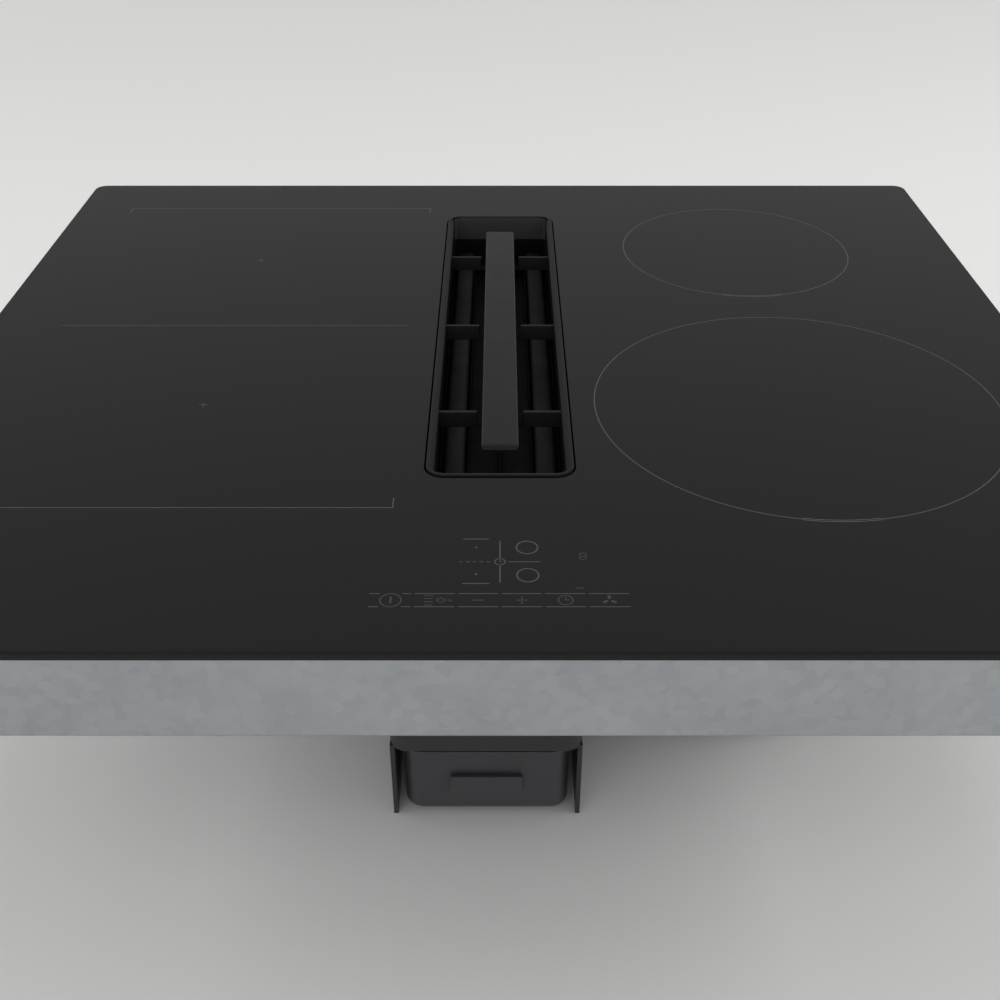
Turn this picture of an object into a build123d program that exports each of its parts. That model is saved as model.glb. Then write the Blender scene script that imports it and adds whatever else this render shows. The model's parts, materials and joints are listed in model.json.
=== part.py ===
from build123d import *

import os
from math import acos, cos, degrees, radians, sin, sqrt

# A downdraft induction cooktop of the 60 cm class, in millimetres.
#
# X runs to the right, Y to the back and Z up. The origin is the middle of the glass plate in
# plan, at the surface of the worktop, where the seal rests. The glass and everything on it lie
# above Z = 0; the pan, the extractor and its tanks hang below, down to BASE_Z.

# ------------------------------------------------------------------ clearances
REST_GAP = 0.3             # a lift-out piece above the ledge it rests on
FIT_GAP = 0.2              # sheet and moulded pieces side by side in one assembly
SLIP_GAP = 0.4             # the filter in its shaft
GRILLE_GAP = 0.8           # the grille in the slot of the glass
BORE_GAP = 0.05            # a running shaft in its bearings, on the radius
SCREW_GAP = 0.1            # a screw in its hole, on the radius

# ------------------------------------------------------------------ glass and worktop joint
GLASS_WIDTH = 592.0
GLASS_DEPTH = 522.0
GLASS_THICKNESS = 4.0
GLASS_CORNER_RADIUS = 8.0
GLASS_EDGE_RADIUS = 1.5    # ground upper edge
GLASS_OVERHANG = 16.0      # the plate beyond the cut-out in the worktop, on each side
SEAL_THICKNESS = 1.0
SEAL_WIDTH = 10.0
SEAL_INSET = 2.0           # the seal inside the edge of the glass

# ------------------------------------------------------------------ air inlet
INLET_WIDTH = 72.4
INLET_LENGTH = 334.0
INLET_RADIUS = 10.0
INLET_Y = 31.0             # the middle of the inlet, behind the middle of the glass

SHAFT_WALL = 2.5
SHAFT_LEDGE = 2.2          # ledge on which the filter rests, all round
SHAFT_FLANGE = 7.3         # flange bonded to the glass, beyond the wall
SHAFT_FLANGE_THICKNESS = 2.0
SHAFT_DEPTH = 70.0         # lower end of the shaft, below the worktop
SHAFT_PAN_GAP = 1.0
GASKET_WALL = 1.5

# ------------------------------------------------------------------ grille and its bar
GRILLE_HEIGHT = 16.0
GRILLE_PROUD = 1.0         # rim above the glass
GRILLE_RIM = 1.3           # wall at the rim
GRILLE_FOOT = 3.2          # wall at the lower edge, thicker because of the draft
GRILLE_EDGE_RADIUS = 0.5
RIB_PITCH = 100.8
RIB_COUNT = 3
RIB_THICKNESS = 2.0
RIB_HEIGHT = 9.0
RIB_SETBACK = 1.9          # upper edge of the ribs, below the glass
RIB_DIP_HALF = 12.0        # the ribs dip under the bar from here inwards
SPINE_WIDTH = 14.0
SPINE_THICKNESS = 3.0
BAR_WIDTH = 18.6
BAR_LENGTH = 281.0
BAR_THICKNESS = 3.0
BAR_EDGE_RADIUS = 1.5
POST_HEIGHT = 5.0          # feet of the bar, over the crossings of the ribs and the spine
POST_WIDTH = 8.0
POST_LENGTH = 6.0

# ------------------------------------------------------------------ grease filter
FILTER_RIM = 3.0
FILTER_RIM_GAP = 0.6
FILTER_DEPTH = 58.0        # lower edge of the filter, below the worktop
FILTER_WALL = 1.5
FILTER_FOLD = 2.5          # inner corners of the folded frame
TIE_COUNT = 3
TIE_PITCH = 110.0
TIE_SIZE = 3.0
TIE_DROP = 38.0            # upper side of the ties, below the worktop
BAFFLE_SHEET = 0.8
BLADE_WIDTH = 10.2
BLADE_CENTRE = 23.5        # the hooded blades, either side of the middle
BLADE_TOP = 20.0           # crown of the blades, below the worktop
BLADE_HEIGHT = 11.1
BLADE_RISE = 1.2           # crown of a blade above its shoulders
TROUGH_WIDTH = 33.6
TROUGH_LIP = 8.0
TROUGH_RIB = 5.0           # rib along the middle of the trough
GUTTER_WIDTH = 6.2

# ------------------------------------------------------------------ base pan and bonded frame
PAN_CLEARANCE = 2.0        # pan inside the cut-out
PAN_HEIGHT = 58.0
PAN_SHEET = 1.0
PAN_CORNER_RADIUS = 6.0
PAN_RIM_GAP = 0.4          # upper edge of the pan, below the glass
FRAME_SHEET = 1.0
FRAME_FLANGE = 6.0
FRAME_LEG = 14.0           # lower edge of the bonded frame, below the worktop
PAN_SCREW_RADIUS = 1.5
PAN_SCREW_DROP = 7.0
PAN_SCREW_LENGTH = 6.0
PAN_SCREW_HEAD_RADIUS = 3.2
PAN_SCREW_HEAD = 1.4
PAN_SCREW_REACH = 180.0    # outer screws of each wall, from its middle
SLOT_COUNT = 6
SLOT_WIDTH = 4.0
SLOT_LENGTH = 42.0
SLOT_PITCH = 8.0
LOUVRE_COUNT = 9
LOUVRE_WIDTH = 14.0
LOUVRE_HEIGHT = 4.0
LOUVRE_PITCH = 18.0
LOUVRE_DROP = 40.0
CLIP_WIDTH = 16.0
CLIP_SHEET = 0.8
CLIP_REACH = 120.0
CLIP_TOP = 10.0
CLIP_FOLD = 48.0
CLIP_SPREAD = 8.0

# ------------------------------------------------------------------ cooking zones
ZONE_SHIFT = 7.5           # zone centres, nearer the inlet than the middle of their bay
COMBI_FRONT_Y = -66.4
COMBI_REAR_Y = 121.4
ROUND_FRONT_Y = -67.1
ROUND_REAR_Y = 139.4
COMBI_COIL_WIDTH = 184.0
COMBI_COIL_DEPTH = 176.0
COMBI_COIL_RADIUS = 44.0
COMBI_EYE_WIDTH = 60.0
COMBI_EYE_DEPTH = 52.0
COMBI_EYE_RADIUS = 18.0
FRONT_COIL_DIAMETER = 184.0
REAR_COIL_DIAMETER = 132.0
COIL_EYE_DIAMETER = 40.0
MICA_THICKNESS = 0.5
COIL_THICKNESS = 4.7
CARRIER_THICKNESS = 2.5
CARRIER_MARGIN = 2.0
FERRITE_THICKNESS = 3.5
FERRITE_WIDTH = 8.0
FERRITE_START = 27.0       # inner end of each bar, from the middle of its coil
FERRITE_MARGIN = 8.0
FERRITE_COUNT = 8
SENSOR_RADIUS = 6.0
COIL_PLATE_SHEET = 1.5
COIL_PLATE_MARGIN = 4.0
COIL_PLATE_SIDE_GAP = 11.8
COIL_LEG_WIDTH = 24.0

# ------------------------------------------------------------------ electronics
BOARD_WIDTH = 170.0
BOARD_DEPTH = 220.0
BOARD_THICKNESS = 1.6
BOARD_Y = -10.0
STANDOFF_HEIGHT = 6.0
STANDOFF_RADIUS = 3.5
STANDOFF_INSET = 8.0
HEATSINK_WIDTH = 50.0
HEATSINK_DEPTH = 150.0
HEATSINK_HEIGHT = 30.0
HEATSINK_BASE = 5.0
HEATSINK_FINS = 8
HEATSINK_FIN = 2.0
HEATSINK_Y = -35.0
FAN_SHIFT = 48.0           # cooling fan, further out than the middle of its bay
CAPACITOR_RADIUS = 9.0
CAPACITOR_HEIGHT = 24.0
CAPACITOR_COUNT = 3
CHOKE_SIZE = 26.0
RELAY_SIZE = 18.0
FILTER_BOARD_WIDTH = 100.0
FILTER_BOARD_DEPTH = 60.0
FILTER_BOARD_Y = 174.0
CONTROL_WIDTH = 190.0
CONTROL_DEPTH = 52.0
CONTROL_HEIGHT = 26.0
CONTROL_WALL = 2.0
CONTROL_BOARD_DROP = 8.0
CONTROL_BOSS_RADIUS = 3.0
KEY_STRIP_WIDTH = 112.0
KEY_STRIP_DEPTH = 13.0
DISPLAY_WIDTH = 80.0
DISPLAY_DEPTH = 30.0

# ------------------------------------------------------------------ mains terminal
TERMINAL_WIDTH = 80.0
TERMINAL_DEPTH = 65.0
TERMINAL_HEIGHT = 27.0
TERMINAL_WALL = 2.0
TERMINAL_SIDE = 28.0       # cover in from the side of the pan
TERMINAL_BACK = 8.0        # cover in from the back of the pan
TERMINAL_BLOCK_WIDTH = 56.0
TERMINAL_BLOCK_DEPTH = 22.0
TERMINAL_BLOCK_HEIGHT = 17.0
GLAND_BORE_RADIUS = 6.0
GLAND_RADIUS = 9.0
GLAND_NUT_RADIUS = 12.0
GLAND_NUT = 5.0
GLAND_REACH = 9.0          # tip of the gland, behind the cover

# ------------------------------------------------------------------ extractor housing
COVER_THICKNESS = 2.5
SUMP_WALL = 2.5
SUMP_RADIUS = 10.0
SUMP_LEFT = 60.0
SUMP_RIGHT = 45.0
SUMP_MARGIN = 8.0          # sump beyond the outside of the shaft, front and back
SUMP_DEPTH = 165.0         # underside of the sump's floor, below the worktop
WINDOW_MARGIN = 8.0
DRAIN_RADIUS = 5.0
DRAIN_BORE = 3.5
DRAIN_LENGTH = 3.5
CHAMBER_INSET = 6.5        # right wall of the chamber, in from the right side of the scroll
CHAMBER_LENGTH = 200.0
CHAMBER_SHIFT = 5.0        # middle of the chamber, in front of the blower's axis
CHAMBER_DEPTH = 120.0      # underside of the fan chamber, below the worktop
BOSS_RADIUS = 5.0
BOSS_HEIGHT = 14.0
BOSS_OFFSET = 4.0
HOUSING_SCREW_RADIUS = 1.7
HOUSING_SCREW_HEAD_RADIUS = 3.6
HOUSING_SCREW_HEAD = 2.0
HOUSING_SCREW_TIP = 1.2    # point of the screw, inside the pan

# ------------------------------------------------------------------ blower
BLOWER_GAP = 6.5           # left side of the scroll, beyond the wall of the sump
BLOWER_Y = 30.0
WHEEL_RADIUS = 80.0
WHEEL_BLADE_START = 62.0
WHEEL_BLADE_COUNT = 36
WHEEL_BLADE_HEIGHT = 50.0
WHEEL_SHEET = 1.6
WHEEL_FLOOR_GAP = 14.0
WHEEL_DOME_RADIUS = 45.0
WHEEL_DOME_HEIGHT = 36.0
WHEEL_RING = 4.5
BLADE_SWEEP = 9.0          # degrees that the tip of a blade leads its root
BLADE_THICKNESS = 1.2
SCROLL_CLEARANCE = 14.0    # first arc of the scroll, beyond the wheel
SCROLL_STEP = 8.0          # growth of the scroll at each quarter turn
SCROLL_WALL = 2.5
SCROLL_TONGUE = 30.0       # tongue, to the right of the blower's axis
SCROLL_REACH = 98.0        # mouth of the scroll, behind the blower's axis
BELL_THROAT = 62.0
BELL_CURVE = 12.0
BELL_WALL = 2.5
BELL_GAP = 1.0
BELL_BANDS = 3             # conical bands of the bell mouth
FOOT_HEIGHT = 11.65        # foot ring that the base stands on, under the scroll
FOOT_RADIUS = 63.0
FOOT_WALL = 3.0
SHAFT_RADIUS = 4.0
HUB_RADIUS = 9.0
HUB_DEPTH = 8.0
MOTOR_RADIUS = 38.0
MOTOR_TOP_GAP = 6.0        # motor under the dome of the wheel
MOTOR_FLOOR_GAP = 1.0
MOTOR_FLANGE_RADIUS = 54.0
MOTOR_FLANGE = 2.5
MOTOR_CAP_RADIUS = 30.0
MOTOR_CAP = 3.0
DAMPER_RADIUS = 5.0
DAMPER_HEIGHT = 3.0
DAMPER_REACH = 47.0
BEARING_RADIUS = 11.0
BEARING_HEIGHT = 7.0

# ------------------------------------------------------------------ cooling fans
FAN_WHEEL_RADIUS = 26.0
FAN_BLADE_START = 19.5
FAN_BLADE_COUNT = 22
FAN_BLADE_HEIGHT = 14.0
FAN_SHEET = 1.0
FAN_DOME_RADIUS = 12.0
FAN_DOME_HEIGHT = 11.0
FAN_RING = 1.6
FAN_STATOR_RADIUS = 9.0
FAN_AXLE_RADIUS = 1.5
FAN_CLEARANCE = 4.0
FAN_STEP = 2.0
FAN_WALL = 1.5
FAN_TONGUE = 8.0
FAN_REACH = 36.0
FAN_HEIGHT = 24.0
FAN_FLOOR_GAP = 1.0
FAN_INTAKE_RADIUS = 20.0
FAN_PAN_GAP = 2.0

# ------------------------------------------------------------------ air outlet
DUCT_INSET = 1.5           # left side of the flat duct, in from the left end of the chamber
DUCT_HEIGHT = 89.0
DUCT_RADIUS = 8.0
DUCT_WALL = 2.5
DUCT_SPIGOT = 33.0
DUCT_BEAD = 1.0
DUCT_BEAD_WIDTH = 4.0

# ------------------------------------------------------------------ control box, tray and tank
BOX_WIDTH = 110.0
BOX_DEPTH = 160.0
BOX_HEIGHT = 38.0
BOX_X = -125.0
BOX_Y = 20.0
BOX_WALL = 2.0
TRAY_WIDTH = 60.0
TRAY_LENGTH = 300.0
TRAY_HEIGHT = 30.0
TRAY_RADIUS = 12.0
TRAY_WALL = 1.8
TRAY_LIP = 1.6
LOCATOR_WIDTH = 2.0
LOCATOR_HEIGHT = 7.0
LOCATOR_LENGTH = 60.0
LOCATOR_REACH = 90.0
RAIL_WIDTH = 4.0
RAIL_THICKNESS = 2.0
RAIL_DROP = 6.0            # upper side of the rails, below the sump
TANK_FLANGE = 1.5
TANK_WALL = 2.0
TANK_CLEARANCE = 4.0       # tank above the surface that the base stands on
TANK_END_GAP = 4.0
TANK_GRIP_WIDTH = 40.0
TANK_GRIP_HEIGHT = 12.0
TANK_GRIP = 3.0

# ------------------------------------------------------------------ heights that follow
GLASS_BOTTOM_Z = SEAL_THICKNESS
GLASS_TOP_Z = GLASS_BOTTOM_Z + GLASS_THICKNESS
PAN_BOTTOM_Z = -PAN_HEIGHT
PAN_FLOOR_Z = PAN_BOTTOM_Z + PAN_SHEET
GRILLE_TOP_Z = GLASS_TOP_Z + GRILLE_PROUD
GRILLE_BOTTOM_Z = GRILLE_TOP_Z - GRILLE_HEIGHT
FILTER_RIM_Z = GRILLE_BOTTOM_Z - REST_GAP
LEDGE_Z = FILTER_RIM_Z - FILTER_RIM - REST_GAP
BAR_BOTTOM_Z = GLASS_TOP_Z - BAR_THICKNESS
SPINE_TOP_Z = BAR_BOTTOM_Z - POST_HEIGHT
COVER_BOTTOM_Z = PAN_BOTTOM_Z - COVER_THICKNESS
SUMP_FLOOR_Z = -SUMP_DEPTH + SUMP_WALL
CHAMBER_BOTTOM_Z = -CHAMBER_DEPTH
SCROLL_TOP_Z = CHAMBER_BOTTOM_Z - SCROLL_WALL
RAIL_TOP_Z = -SUMP_DEPTH - RAIL_DROP
BELL_END_Z = CHAMBER_BOTTOM_Z - BELL_CURVE
WHEEL_TOP_Z = BELL_END_Z - 4 * BELL_GAP
WHEEL_PLATE_Z = WHEEL_TOP_Z - WHEEL_RING / 2 - WHEEL_BLADE_HEIGHT - WHEEL_SHEET
SCROLL_FLOOR_Z = WHEEL_PLATE_Z - WHEEL_FLOOR_GAP
SCROLL_BOTTOM_Z = SCROLL_FLOOR_Z - SCROLL_WALL
BASE_Z = SCROLL_BOTTOM_Z - FOOT_HEIGHT

# ------------------------------------------------------------------ widths that follow
PAN_WIDTH = GLASS_WIDTH - 2 * (GLASS_OVERHANG + PAN_CLEARANCE)
PAN_DEPTH = GLASS_DEPTH - 2 * (GLASS_OVERHANG + PAN_CLEARANCE)
FRAME_WIDTH = PAN_WIDTH - 2 * (PAN_SHEET + FIT_GAP)
FRAME_DEPTH = PAN_DEPTH - 2 * (PAN_SHEET + FIT_GAP)
FRAME_RADIUS = PAN_CORNER_RADIUS - PAN_SHEET - FIT_GAP
POCKET_WIDTH = INLET_WIDTH + 2 * SHAFT_WALL
POCKET_LENGTH = INLET_LENGTH + 2 * SHAFT_WALL
POCKET_RADIUS = INLET_RADIUS + SHAFT_WALL
BORE_WIDTH = INLET_WIDTH - 2 * SHAFT_LEDGE
BORE_LENGTH = INLET_LENGTH - 2 * SHAFT_LEDGE
BORE_RADIUS = INLET_RADIUS - SHAFT_LEDGE
STEM_WIDTH = BORE_WIDTH + 2 * SHAFT_WALL
STEM_LENGTH = BORE_LENGTH + 2 * SHAFT_WALL
STEM_RADIUS = BORE_RADIUS + SHAFT_WALL
BAY_INNER = POCKET_WIDTH / 2 + SHAFT_FLANGE
BAY_OUTER = FRAME_WIDTH / 2 - FRAME_SHEET
BAY_X = (BAY_INNER + BAY_OUTER) / 2
ZONE_X = BAY_X - ZONE_SHIFT
FILTER_WIDTH = BORE_WIDTH - 2 * SLIP_GAP
FILTER_LENGTH = BORE_LENGTH - 2 * SLIP_GAP
FILTER_RADIUS = BORE_RADIUS - SLIP_GAP
FILTER_INNER_WIDTH = FILTER_WIDTH - 2 * FILTER_WALL
FILTER_INNER_LENGTH = FILTER_LENGTH - 2 * FILTER_WALL
SUMP_X = (SUMP_RIGHT - SUMP_LEFT) / 2
SUMP_WIDTH = SUMP_LEFT + SUMP_RIGHT
SUMP_LENGTH = STEM_LENGTH + 2 * (GASKET_WALL + SUMP_MARGIN)
SUMP_FRONT = INLET_Y - SUMP_LENGTH / 2
SUMP_BACK = INLET_Y + SUMP_LENGTH / 2
SCROLL_FIRST = WHEEL_RADIUS + SCROLL_CLEARANCE
SCROLL_LEFT = SCROLL_FIRST + SCROLL_STEP / 2 + SCROLL_WALL
SCROLL_RIGHT = SCROLL_FIRST + 2.5 * SCROLL_STEP + SCROLL_WALL
BLOWER_X = SUMP_RIGHT + BLOWER_GAP + SCROLL_LEFT
CHAMBER_RIGHT = BLOWER_X + SCROLL_RIGHT - CHAMBER_INSET
CHAMBER_WIDTH = CHAMBER_RIGHT - SUMP_RIGHT
CHAMBER_Y = BLOWER_Y - CHAMBER_SHIFT
DUCT_WIDTH = BLOWER_X + SCROLL_RIGHT - SUMP_RIGHT - DUCT_INSET
MICA_Z = GLASS_BOTTOM_Z - MICA_THICKNESS
COIL_Z = MICA_Z - COIL_THICKNESS
CARRIER_Z = COIL_Z - CARRIER_THICKNESS
FERRITE_Z = CARRIER_Z - FERRITE_THICKNESS
COIL_PLATE_Z = FERRITE_Z - COIL_PLATE_SHEET
BOARD_Z = PAN_FLOOR_Z + STANDOFF_HEIGHT
BOARD_TOP_Z = BOARD_Z + BOARD_THICKNESS
FAN_X = BAY_X + FAN_SHIFT
FAN_BOTTOM_RADIUS = FAN_WHEEL_RADIUS + FAN_CLEARANCE + FAN_STEP + FAN_WALL
FAN_Y = -PAN_DEPTH / 2 + PAN_SHEET + FAN_PAN_GAP + FAN_BOTTOM_RADIUS + FAN_STEP / 2
CONTROL_Y = -FRAME_DEPTH / 2 + FRAME_FLANGE + FIT_GAP + CONTROL_DEPTH / 2
TERMINAL_X = -PAN_WIDTH / 2 + TERMINAL_SIDE + TERMINAL_WIDTH / 2
TERMINAL_Y = PAN_DEPTH / 2 - TERMINAL_BACK - TERMINAL_DEPTH / 2
TERMINAL_FLOOR_Z = PAN_BOTTOM_Z - TERMINAL_HEIGHT
GLAND_Z = PAN_BOTTOM_Z - TERMINAL_HEIGHT / 2
TANK_TOP_Z = RAIL_TOP_Z + REST_GAP + TANK_FLANGE
TANK_BOTTOM_Z = BASE_Z + TANK_CLEARANCE

# Each zone: its name, centre in X and Y, and whether its coil is the long kind of the combined zone.
ZONES = [
    ("left_front", -ZONE_X, COMBI_FRONT_Y, 0.0),
    ("left_rear", -ZONE_X, COMBI_REAR_Y, 0.0),
    ("right_front", ZONE_X, ROUND_FRONT_Y, FRONT_COIL_DIAMETER),
    ("right_rear", ZONE_X, ROUND_REAR_Y, REAR_COIL_DIAMETER),
]
SIDES = {"left": -1, "right": 1}


# ------------------------------------------------------------------ building blocks
def slab(width, depth, bottom, top, radius=0.0, x=0.0, y=0.0):
    """A flat slab between two heights, with its vertical corners rounded when radius is given."""
    outline = RectangleRounded(width, depth, radius) if radius else Rectangle(width, depth)
    return Pos(x, y, bottom) * extrude(outline, top - bottom)


def tub(width, depth, bottom, top, radius, wall, floor, x=0.0, y=0.0):
    """An open box: a slab hollowed from above, with its inner corners following the outer ones."""
    outside = slab(width, depth, bottom, top, radius, x, y)
    inner_radius = max(radius - wall, 0.5) if radius else 0.0
    inside = slab(width - 2 * wall, depth - 2 * wall, bottom + floor, top + wall, inner_radius, x, y)
    return outside - inside


def rod(radius, bottom, top, x=0.0, y=0.0):
    """An upright cylinder between two heights."""
    return Pos(x, y, bottom) * extrude(Circle(radius), top - bottom)


def prism_xz(outline, length, y):
    """An outline drawn in X and Z, carried along Y for a length centred on y."""
    return Pos(0, y, 0) * extrude(Plane.XZ * outline, amount=length / 2, both=True)


def polygon(points):
    """A face with straight sides."""
    return make_face(Polyline(*points, close=True))


def spread(count, pitch):
    """Places of a row of equal steps about its middle."""
    return [(index - (count - 1) / 2) * pitch for index in range(count)]


def outlet_frame(x, y, z):
    """A drawing plane that faces backwards, along Y, centred on a point."""
    return Plane(origin=(x, y, z), x_dir=(1, 0, 0), z_dir=(0, 1, 0))


# ------------------------------------------------------------------ glass, seal and frame
def make_glass_top():
    """The ceramic glass plate with its long slot; the upper edge is ground round."""
    plate = slab(GLASS_WIDTH, GLASS_DEPTH, GLASS_BOTTOM_Z, GLASS_TOP_Z, GLASS_CORNER_RADIUS)
    plate = fillet(plate.edges().group_by(Axis.Z)[-1], GLASS_EDGE_RADIUS)
    slot_top = GLASS_TOP_Z + GLASS_THICKNESS
    slot = slab(INLET_WIDTH, INLET_LENGTH, 0, slot_top, INLET_RADIUS, y=INLET_Y)
    return plate - slot


def make_worktop_seal():
    """The foam strip between the glass and the worktop, a closed ring."""
    outer_width = GLASS_WIDTH - 2 * SEAL_INSET
    outer_depth = GLASS_DEPTH - 2 * SEAL_INSET
    outer_radius = GLASS_CORNER_RADIUS - SEAL_INSET
    ring = slab(outer_width, outer_depth, 0, SEAL_THICKNESS, outer_radius)
    inner_width = outer_width - 2 * SEAL_WIDTH
    inner_depth = outer_depth - 2 * SEAL_WIDTH
    return ring - slab(inner_width, inner_depth, -1, SEAL_THICKNESS + 1)


def pan_screw_places():
    """Where the pan is screwed to the frame; the local Z axis points out of the wall."""
    places = []
    for along in (-PAN_SCREW_REACH, 0.0, PAN_SCREW_REACH):
        places.append(Location((PAN_WIDTH / 2, along, -PAN_SCREW_DROP), (0, 90, 0)))
        places.append(Location((-PAN_WIDTH / 2, along, -PAN_SCREW_DROP), (0, -90, 0)))
    for along in (-PAN_SCREW_REACH, PAN_SCREW_REACH):
        places.append(Location((along, PAN_DEPTH / 2, -PAN_SCREW_DROP), (-90, 0, 0)))
        places.append(Location((along, -PAN_DEPTH / 2, -PAN_SCREW_DROP), (90, 0, 0)))
    return places


def pan_screw_holes():
    """The holes that the pan's screws pass through."""
    hole = rod(PAN_SCREW_RADIUS + SCREW_GAP, -PAN_SCREW_LENGTH - 1, 1)
    return [place * hole for place in pan_screw_places()]


def make_glass_frame():
    """The steel angle bonded under the glass, to which the pan is screwed."""
    outside = slab(FRAME_WIDTH, FRAME_DEPTH, -FRAME_LEG, GLASS_BOTTOM_Z, FRAME_RADIUS)
    under = GLASS_BOTTOM_Z - FRAME_SHEET
    leg_width = FRAME_WIDTH - 2 * FRAME_SHEET
    leg_depth = FRAME_DEPTH - 2 * FRAME_SHEET
    leg_space = slab(leg_width, leg_depth, -FRAME_LEG - 1, under, FRAME_RADIUS - FRAME_SHEET)
    opening_width = FRAME_WIDTH - 2 * FRAME_FLANGE
    opening_depth = FRAME_DEPTH - 2 * FRAME_FLANGE
    opening = slab(opening_width, opening_depth, under - 1, GLASS_BOTTOM_Z + 1)
    frame = outside - leg_space - opening
    for hole in pan_screw_holes():
        frame -= hole
    return frame


# ------------------------------------------------------------------ inlet, grille and filter
def make_inlet_shaft():
    """The moulded shaft under the slot: a wide pocket for the grille, a ledge, a narrower stem."""
    flange_bottom = GLASS_BOTTOM_Z - SHAFT_FLANGE_THICKNESS
    flange_width = POCKET_WIDTH + 2 * SHAFT_FLANGE
    flange_length = POCKET_LENGTH + 2 * SHAFT_FLANGE
    flange_radius = POCKET_RADIUS + SHAFT_FLANGE
    ledge_bottom = LEDGE_Z - SHAFT_WALL
    y = INLET_Y
    shaft = slab(flange_width, flange_length, flange_bottom, GLASS_BOTTOM_Z, flange_radius, y=y)
    shaft += slab(POCKET_WIDTH, POCKET_LENGTH, ledge_bottom, flange_bottom, POCKET_RADIUS, y=y)
    shaft += slab(STEM_WIDTH, STEM_LENGTH, -SHAFT_DEPTH, ledge_bottom, STEM_RADIUS, y=y)
    shaft -= slab(INLET_WIDTH, INLET_LENGTH, LEDGE_Z, GLASS_TOP_Z, INLET_RADIUS, y=y)
    shaft -= slab(BORE_WIDTH, BORE_LENGTH, -SHAFT_DEPTH - 1, LEDGE_Z + 1, BORE_RADIUS, y=y)
    return shaft


def make_shaft_gasket():
    """The foam ring that closes the gap between the shaft and the plenum cover."""
    width = STEM_WIDTH + 2 * GASKET_WALL
    length = STEM_LENGTH + 2 * GASKET_WALL
    ring = slab(width, length, COVER_BOTTOM_Z, PAN_BOTTOM_Z, STEM_RADIUS + GASKET_WALL, y=INLET_Y)
    bore_width = STEM_WIDTH + SCREW_GAP
    bore_length = STEM_LENGTH + SCREW_GAP
    return ring - slab(bore_width, bore_length, COVER_BOTTOM_Z - 1, 0, STEM_RADIUS, y=INLET_Y)


def rib_outline():
    """One pair of ribs with the dip under the bar, drawn across the grille."""
    half = INLET_WIDTH / 2 - GRILLE_GAP - GRILLE_RIM / 2
    top = GLASS_TOP_Z - RIB_SETBACK
    bottom = top - RIB_HEIGHT
    dip = SPINE_TOP_Z
    dip_half = RIB_DIP_HALF
    upper = [(half, top), (dip_half, top), (dip_half, dip), (-dip_half, dip), (-dip_half, top)]
    return polygon(upper + [(-half, top), (-half, bottom), (half, bottom)])


def make_inlet_grille():
    """The grille frame: walls that thicken downwards with the draft, a spine and three cross ribs."""
    width = INLET_WIDTH - 2 * GRILLE_GAP
    length = INLET_LENGTH - 2 * GRILLE_GAP
    radius = INLET_RADIUS - GRILLE_GAP
    frame = slab(width, length, GRILLE_BOTTOM_Z, GRILLE_TOP_Z, radius, y=INLET_Y)
    frame = fillet(frame.edges().group_by(Axis.Z)[-1], GRILLE_EDGE_RADIUS)
    mouth = RectangleRounded(width - 2 * GRILLE_RIM, length - 2 * GRILLE_RIM, radius - GRILLE_RIM)
    foot = RectangleRounded(width - 2 * GRILLE_FOOT, length - 2 * GRILLE_FOOT, radius - GRILLE_FOOT)
    draft = [Pos(0, INLET_Y, GRILLE_BOTTOM_Z) * foot, Pos(0, INLET_Y, GRILLE_TOP_Z) * mouth]
    frame -= loft(draft, ruled=True)
    spine_bottom = SPINE_TOP_Z - SPINE_THICKNESS
    spine_length = (RIB_COUNT - 1) * RIB_PITCH + POST_LENGTH
    frame += slab(SPINE_WIDTH, spine_length, spine_bottom, SPINE_TOP_Z, y=INLET_Y)
    for y in spread(RIB_COUNT, RIB_PITCH):
        frame += prism_xz(rib_outline(), RIB_THICKNESS, INLET_Y + y)
    return frame


def make_grille_bar():
    """The long thin bar, flush with the glass, on three feet that stand on the spine."""
    bar = slab(BAR_WIDTH, BAR_LENGTH, BAR_BOTTOM_Z, GLASS_TOP_Z, y=INLET_Y)
    bar = fillet(bar.edges().group_by(Axis.Z)[-1], BAR_EDGE_RADIUS)
    for y in spread(RIB_COUNT, RIB_PITCH):
        bar += slab(POST_WIDTH, POST_LENGTH, SPINE_TOP_Z, BAR_BOTTOM_Z, y=INLET_Y + y)
    return bar


def make_filter_frame():
    """The frame of the grease filter: a rim that rests on the ledge, walls and cross ties."""
    rim_width = INLET_WIDTH - 2 * FILTER_RIM_GAP
    rim_length = INLET_LENGTH - 2 * FILTER_RIM_GAP
    rim_bottom = FILTER_RIM_Z - FILTER_RIM
    rim_radius = INLET_RADIUS - FILTER_RIM_GAP
    frame = slab(rim_width, rim_length, rim_bottom, FILTER_RIM_Z, rim_radius, y=INLET_Y)
    frame += slab(FILTER_WIDTH, FILTER_LENGTH, -FILTER_DEPTH, rim_bottom, FILTER_RADIUS, y=INLET_Y)
    frame -= slab(FILTER_INNER_WIDTH, FILTER_INNER_LENGTH, -FILTER_DEPTH - 1, 0, FILTER_FOLD, y=INLET_Y)
    tie_top = -TIE_DROP
    for y in spread(TIE_COUNT, TIE_PITCH):
        tie_width = FILTER_INNER_WIDTH + FILTER_WALL
        frame += slab(tie_width, TIE_SIZE, tie_top - TIE_SIZE, tie_top, y=INLET_Y + y)
    return frame


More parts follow.
